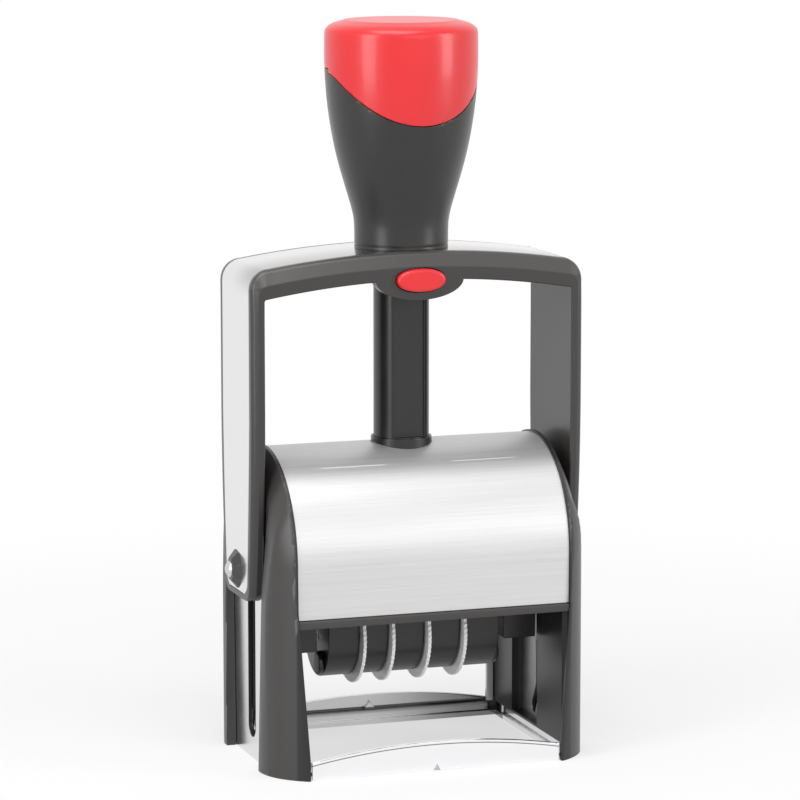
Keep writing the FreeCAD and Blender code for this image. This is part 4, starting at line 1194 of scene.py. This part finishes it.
def rim_cutter(side):
    """The space outside the housing's skin, which rises from a thin rim in a soft round."""
    sections = []
    for (y, z), (way_y, way_z) in side_stations():
        rim = along(RIM_X, z)
        drop = skin_x(y, z) - rim
        blend = [(RIM_BLEND * step / BLEND_STEPS, drop * (1 - step / BLEND_STEPS) ** 2)
                 for step in range(BLEND_STEPS + 1)]
        line = [(-CUTTER_SPARE, rim)]
        for inset, below in blend + [(inset, 0.0) for inset in SKIN_INSETS]:
            line.append((inset, skin_x(y - way_y * inset, z - way_z * inset) - below))
        line += [(SKIN_INSETS[-1], CUTTER_X), (-CUTTER_SPARE, CUTTER_X)]
        sections.append([(side * x, y - way_y * inset, z - way_z * inset) for inset, x in line])
    return loft("rim_cutter", sections)


class STAMP_OT_housings(bpy.types.Operator):
    """Dark side housings and cross bars with rounded moulded edges"""
    bl_idname = "stamp.housings"
    bl_label = "Side housings"

    def execute(self, context):
        for node, side in (("side_housing_left", -1), ("side_housing_right", 1)):
            settle(combine(refined(node), rim_cutter(side)), node, angle=28, finish="housing_plastic")
        refine(0.7 * context.scene.stamp_sizes.plastic_edge, "front_crossbar", "rear_crossbar")
        return {"FINISHED"}


# ---------------------------------------------------------------- the other pieces
class STAMP_OT_base(bpy.types.Operator):
    """Plated base frame with its arched bars and the rear uprights"""
    bl_idname = "stamp.base"
    bl_label = "Base frame"

    def execute(self, context):
        edge = context.scene.stamp_sizes.metal_edge
        refine(edge, "base_frame", finish="frame_plate")
        refine(edge, "rear_posts", finish="pale_plate")
        return {"FINISHED"}


class STAMP_OT_plates(bpy.types.Operator):
    """Side plates, cam plates and the bridge plate"""
    bl_idname = "stamp.plates"
    bl_label = "Plates"

    def execute(self, context):
        edge = 0.8 * context.scene.stamp_sizes.metal_edge
        refine(edge, "bridge_plate")
        for node in ("side_plate_left", "side_plate_right"):
            plate = refined(node)
            with editing(plate):
                bpy.ops.mesh.dissolve_limited(angle_limit=math.radians(0.5))
            settle(soften(plate, edge), node, finish="slotted_plate")
        refine(edge, "cam_plate_left", "cam_plate_right", finish="cam_steel")
        return {"FINISHED"}


class STAMP_OT_column(bpy.types.Operator):
    """Guide column with its groove, the collar at its foot, and the return spring inside"""
    bl_idname = "stamp.column"
    bl_label = "Guide column"

    def execute(self, context):
        edge = 0.4 * context.scene.stamp_sizes.plastic_edge
        refine(edge, "guide_column", "column_collar", finish="black_plastic")
        refine(0, "return_spring")
        spring = bpy.context.object
        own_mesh(spring)
        return {"FINISHED"}


class STAMP_OT_axles(bpy.types.Operator):
    """Axle pins with domed ends, and the rollers in the side plates' slots"""
    bl_idname = "stamp.axles"
    bl_label = "Axles"

    def execute(self, context):
        refine(PIN_EDGE * MM, "axle_pin_left", "axle_pin_right", "axle_bush_left", "axle_bush_right",
               "wheel_axle")
        return {"FINISHED"}


class STAMP_OT_wheels(bpy.types.Operator):
    """Date wheels with toothed thumb rings"""
    bl_idname = "stamp.wheels"
    bl_label = "Date wheels"

    def execute(self, context):
        refine(WHEEL_EDGE * MM, *(f"date_wheel_{index}" for index in range(1, 5)))
        return {"FINISHED"}


class STAMP_OT_carrier(bpy.types.Operator):
    """Die carrier: deck, end blocks, the drum around the wheels and its studs"""
    bl_idname = "stamp.carrier"
    bl_label = "Die carrier"

    def execute(self, context):
        refine(0.5 * context.scene.stamp_sizes.plastic_edge, "carrier_deck", "carrier_end_left",
               "carrier_end_right", "band_housing", "drum_studs", "band_bridge", "text_plate")
        refine(DIE_EDGE * MM, "rubber_die")
        return {"FINISHED"}


class STAMP_OT_tray(bpy.types.Operator):
    """Sliding tray with its finger lip, over the ink pad"""
    bl_idname = "stamp.tray"
    bl_label = "Pad tray"

    def execute(self, context):
        refine(0.5 * context.scene.stamp_sizes.plastic_edge, "pad_tray", "ink_pad")
        return {"FINISHED"}


class STAMP_OT_fasteners(bpy.types.Operator):
    """Screws and rivets"""
    bl_idname = "stamp.fasteners"
    bl_label = "Fasteners"

    def execute(self, context):
        refine(FASTENER_EDGE * MM, "base_screws", "side_rivets_left", "side_rivets_right", "grip_screws",
               "carrier_screws", "column_screw")
        return {"FINISHED"}


# ---------------------------------------------------------------- stage
def lamp(name, place, size, power):
    """A soft rectangular lamp, aimed at the middle of the stamp."""
    bpy.ops.object.light_add(type="AREA", location=Vector(place) * MM)
    light = bpy.context.object
    light.name = name
    light.data.shape = "RECTANGLE"
    light.data.size, light.data.size_y = size[0] * MM, size[1] * MM
    light.data.energy = power
    light.rotation_euler = (Vector(place) - Vector(LAMP_AIM)).to_track_quat("Z", "Y").to_euler()


def seen_by(finish):
    """1 on rays from the camera and on mirrored and refracted ones, 0 on light for surfaces."""
    path = finish.tree.nodes.new("ShaderNodeLightPath")
    rays = [Field(finish, path.outputs[kind])
            for kind in ("Is Camera Ray", "Is Glossy Ray", "Is Transmission Ray")]
    return rays[0] + rays[1] + rays[2]


class STAMP_OT_stage(bpy.types.Operator):
    """Pale floor, white surroundings, soft lamps and the camera"""
    bl_idname = "stamp.stage"
    bl_label = "Stage"

    def execute(self, context):
        scene = context.scene
        bpy.ops.object.select_all(action="DESELECT")
        bpy.ops.mesh.primitive_plane_add(size=FLOOR_SIZE * MM, location=(0, 0, 0))
        floor = take("floor")
        finish = Finish("pale floor")
        reach = finish.node("ShaderNodeVectorMath", {"operation": "LENGTH"}, {0: finish.place()}, "Value")
        far = 0.62 + finish.fade(reach, *FLOOR_FADE) * 0.38
        matt = finish.node("ShaderNodeBsdfDiffuse", {}, {"Color": tint((0.86, 0.86, 0.86))})
        glow = finish.node("ShaderNodeEmission", {}, {"Color": tint((1, 1, 1)), "Strength": 1.0})
        shown = finish.node("ShaderNodeMixShader", {}, {0: seen_by(finish) * far, 1: matt, 2: glow})
        floor.data.materials.append(finish.end(shown))

        sky = Finish("surroundings", "worlds")
        light = sky.node("ShaderNodeBackground", {}, {
            "Color": tint((1, 1, 1)), "Strength": 0.42 + seen_by(sky) * 0.58})
        scene.world = sky.end(light, "ShaderNodeOutputWorld")
        for settings in LAMPS:
            lamp(*settings)

        camera = bpy.data.objects.new("camera", bpy.data.cameras.new("camera"))
        scene.collection.objects.link(camera)
        yaw, pitch = math.radians(CAMERA_YAW), math.radians(CAMERA_PITCH)
        camera.location = Vector((-CAMERA_DISTANCE * math.sin(yaw) + CAMERA_SIDE * math.cos(yaw),
                                  -CAMERA_DISTANCE * math.cos(yaw) - CAMERA_SIDE * math.sin(yaw),
                                  CAMERA_Z)) * MM
        camera.rotation_euler = (math.pi / 2 - pitch, 0, -yaw)
        camera.data.sensor_width = SENSOR
        camera.data.lens = CAMERA_FOCAL / FRAME_PIXELS * SENSOR
        scene.camera = camera
        scene.view_settings.view_transform = "Standard"
        return {"FINISHED"}


PIECES = (STAMP_OT_knob, STAMP_OT_bow, STAMP_OT_button, STAMP_OT_column, STAMP_OT_cover,
          STAMP_OT_housings, STAMP_OT_base, STAMP_OT_plates, STAMP_OT_axles, STAMP_OT_wheels,
          STAMP_OT_carrier, STAMP_OT_tray, STAMP_OT_fasteners, STAMP_OT_stage)


class STAMP_PT_panel(bpy.types.Panel):
    """Lists the pieces, sizes and colours"""
    bl_idname = "STAMP_PT_panel"
    bl_label = "Date stamp"
    bl_space_type = "VIEW_3D"
    bl_region_type = "UI"
    bl_category = "Date stamp"

    def draw(self, context):
        for group in (context.scene.stamp_sizes, context.scene.stamp_colours):
            box = self.layout.box()
            for key in group.__annotations__:
                box.prop(group, key)
        for piece in PIECES:
            self.layout.operator(piece.bl_idname)


CLASSES = (StampSizes, StampColours) + PIECES + (STAMP_PT_panel,)


def register():
    for kind in CLASSES:
        bpy.utils.register_class(kind)
    bpy.types.Scene.stamp_sizes = PointerProperty(type=StampSizes)
    bpy.types.Scene.stamp_colours = PointerProperty(type=StampColours)


def unregister():
    del bpy.types.Scene.stamp_colours
    del bpy.types.Scene.stamp_sizes
    for kind in reversed(CLASSES):
        bpy.utils.unregister_class(kind)


def finish_frame():
    """Gives every CAD node the procedural finish of its slot."""
    for node, piece in frame["nodes"].items():
        piece.data.materials.clear()
        piece.data.materials.append(finish_of(SLOT_OF[node]))


def main():
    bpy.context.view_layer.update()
    register()
    finish_frame()
    for piece in PIECES:
        family, action = piece.bl_idname.split(".")
        getattr(getattr(bpy.ops, family), action)()


if __name__ == "__main__":
    main()
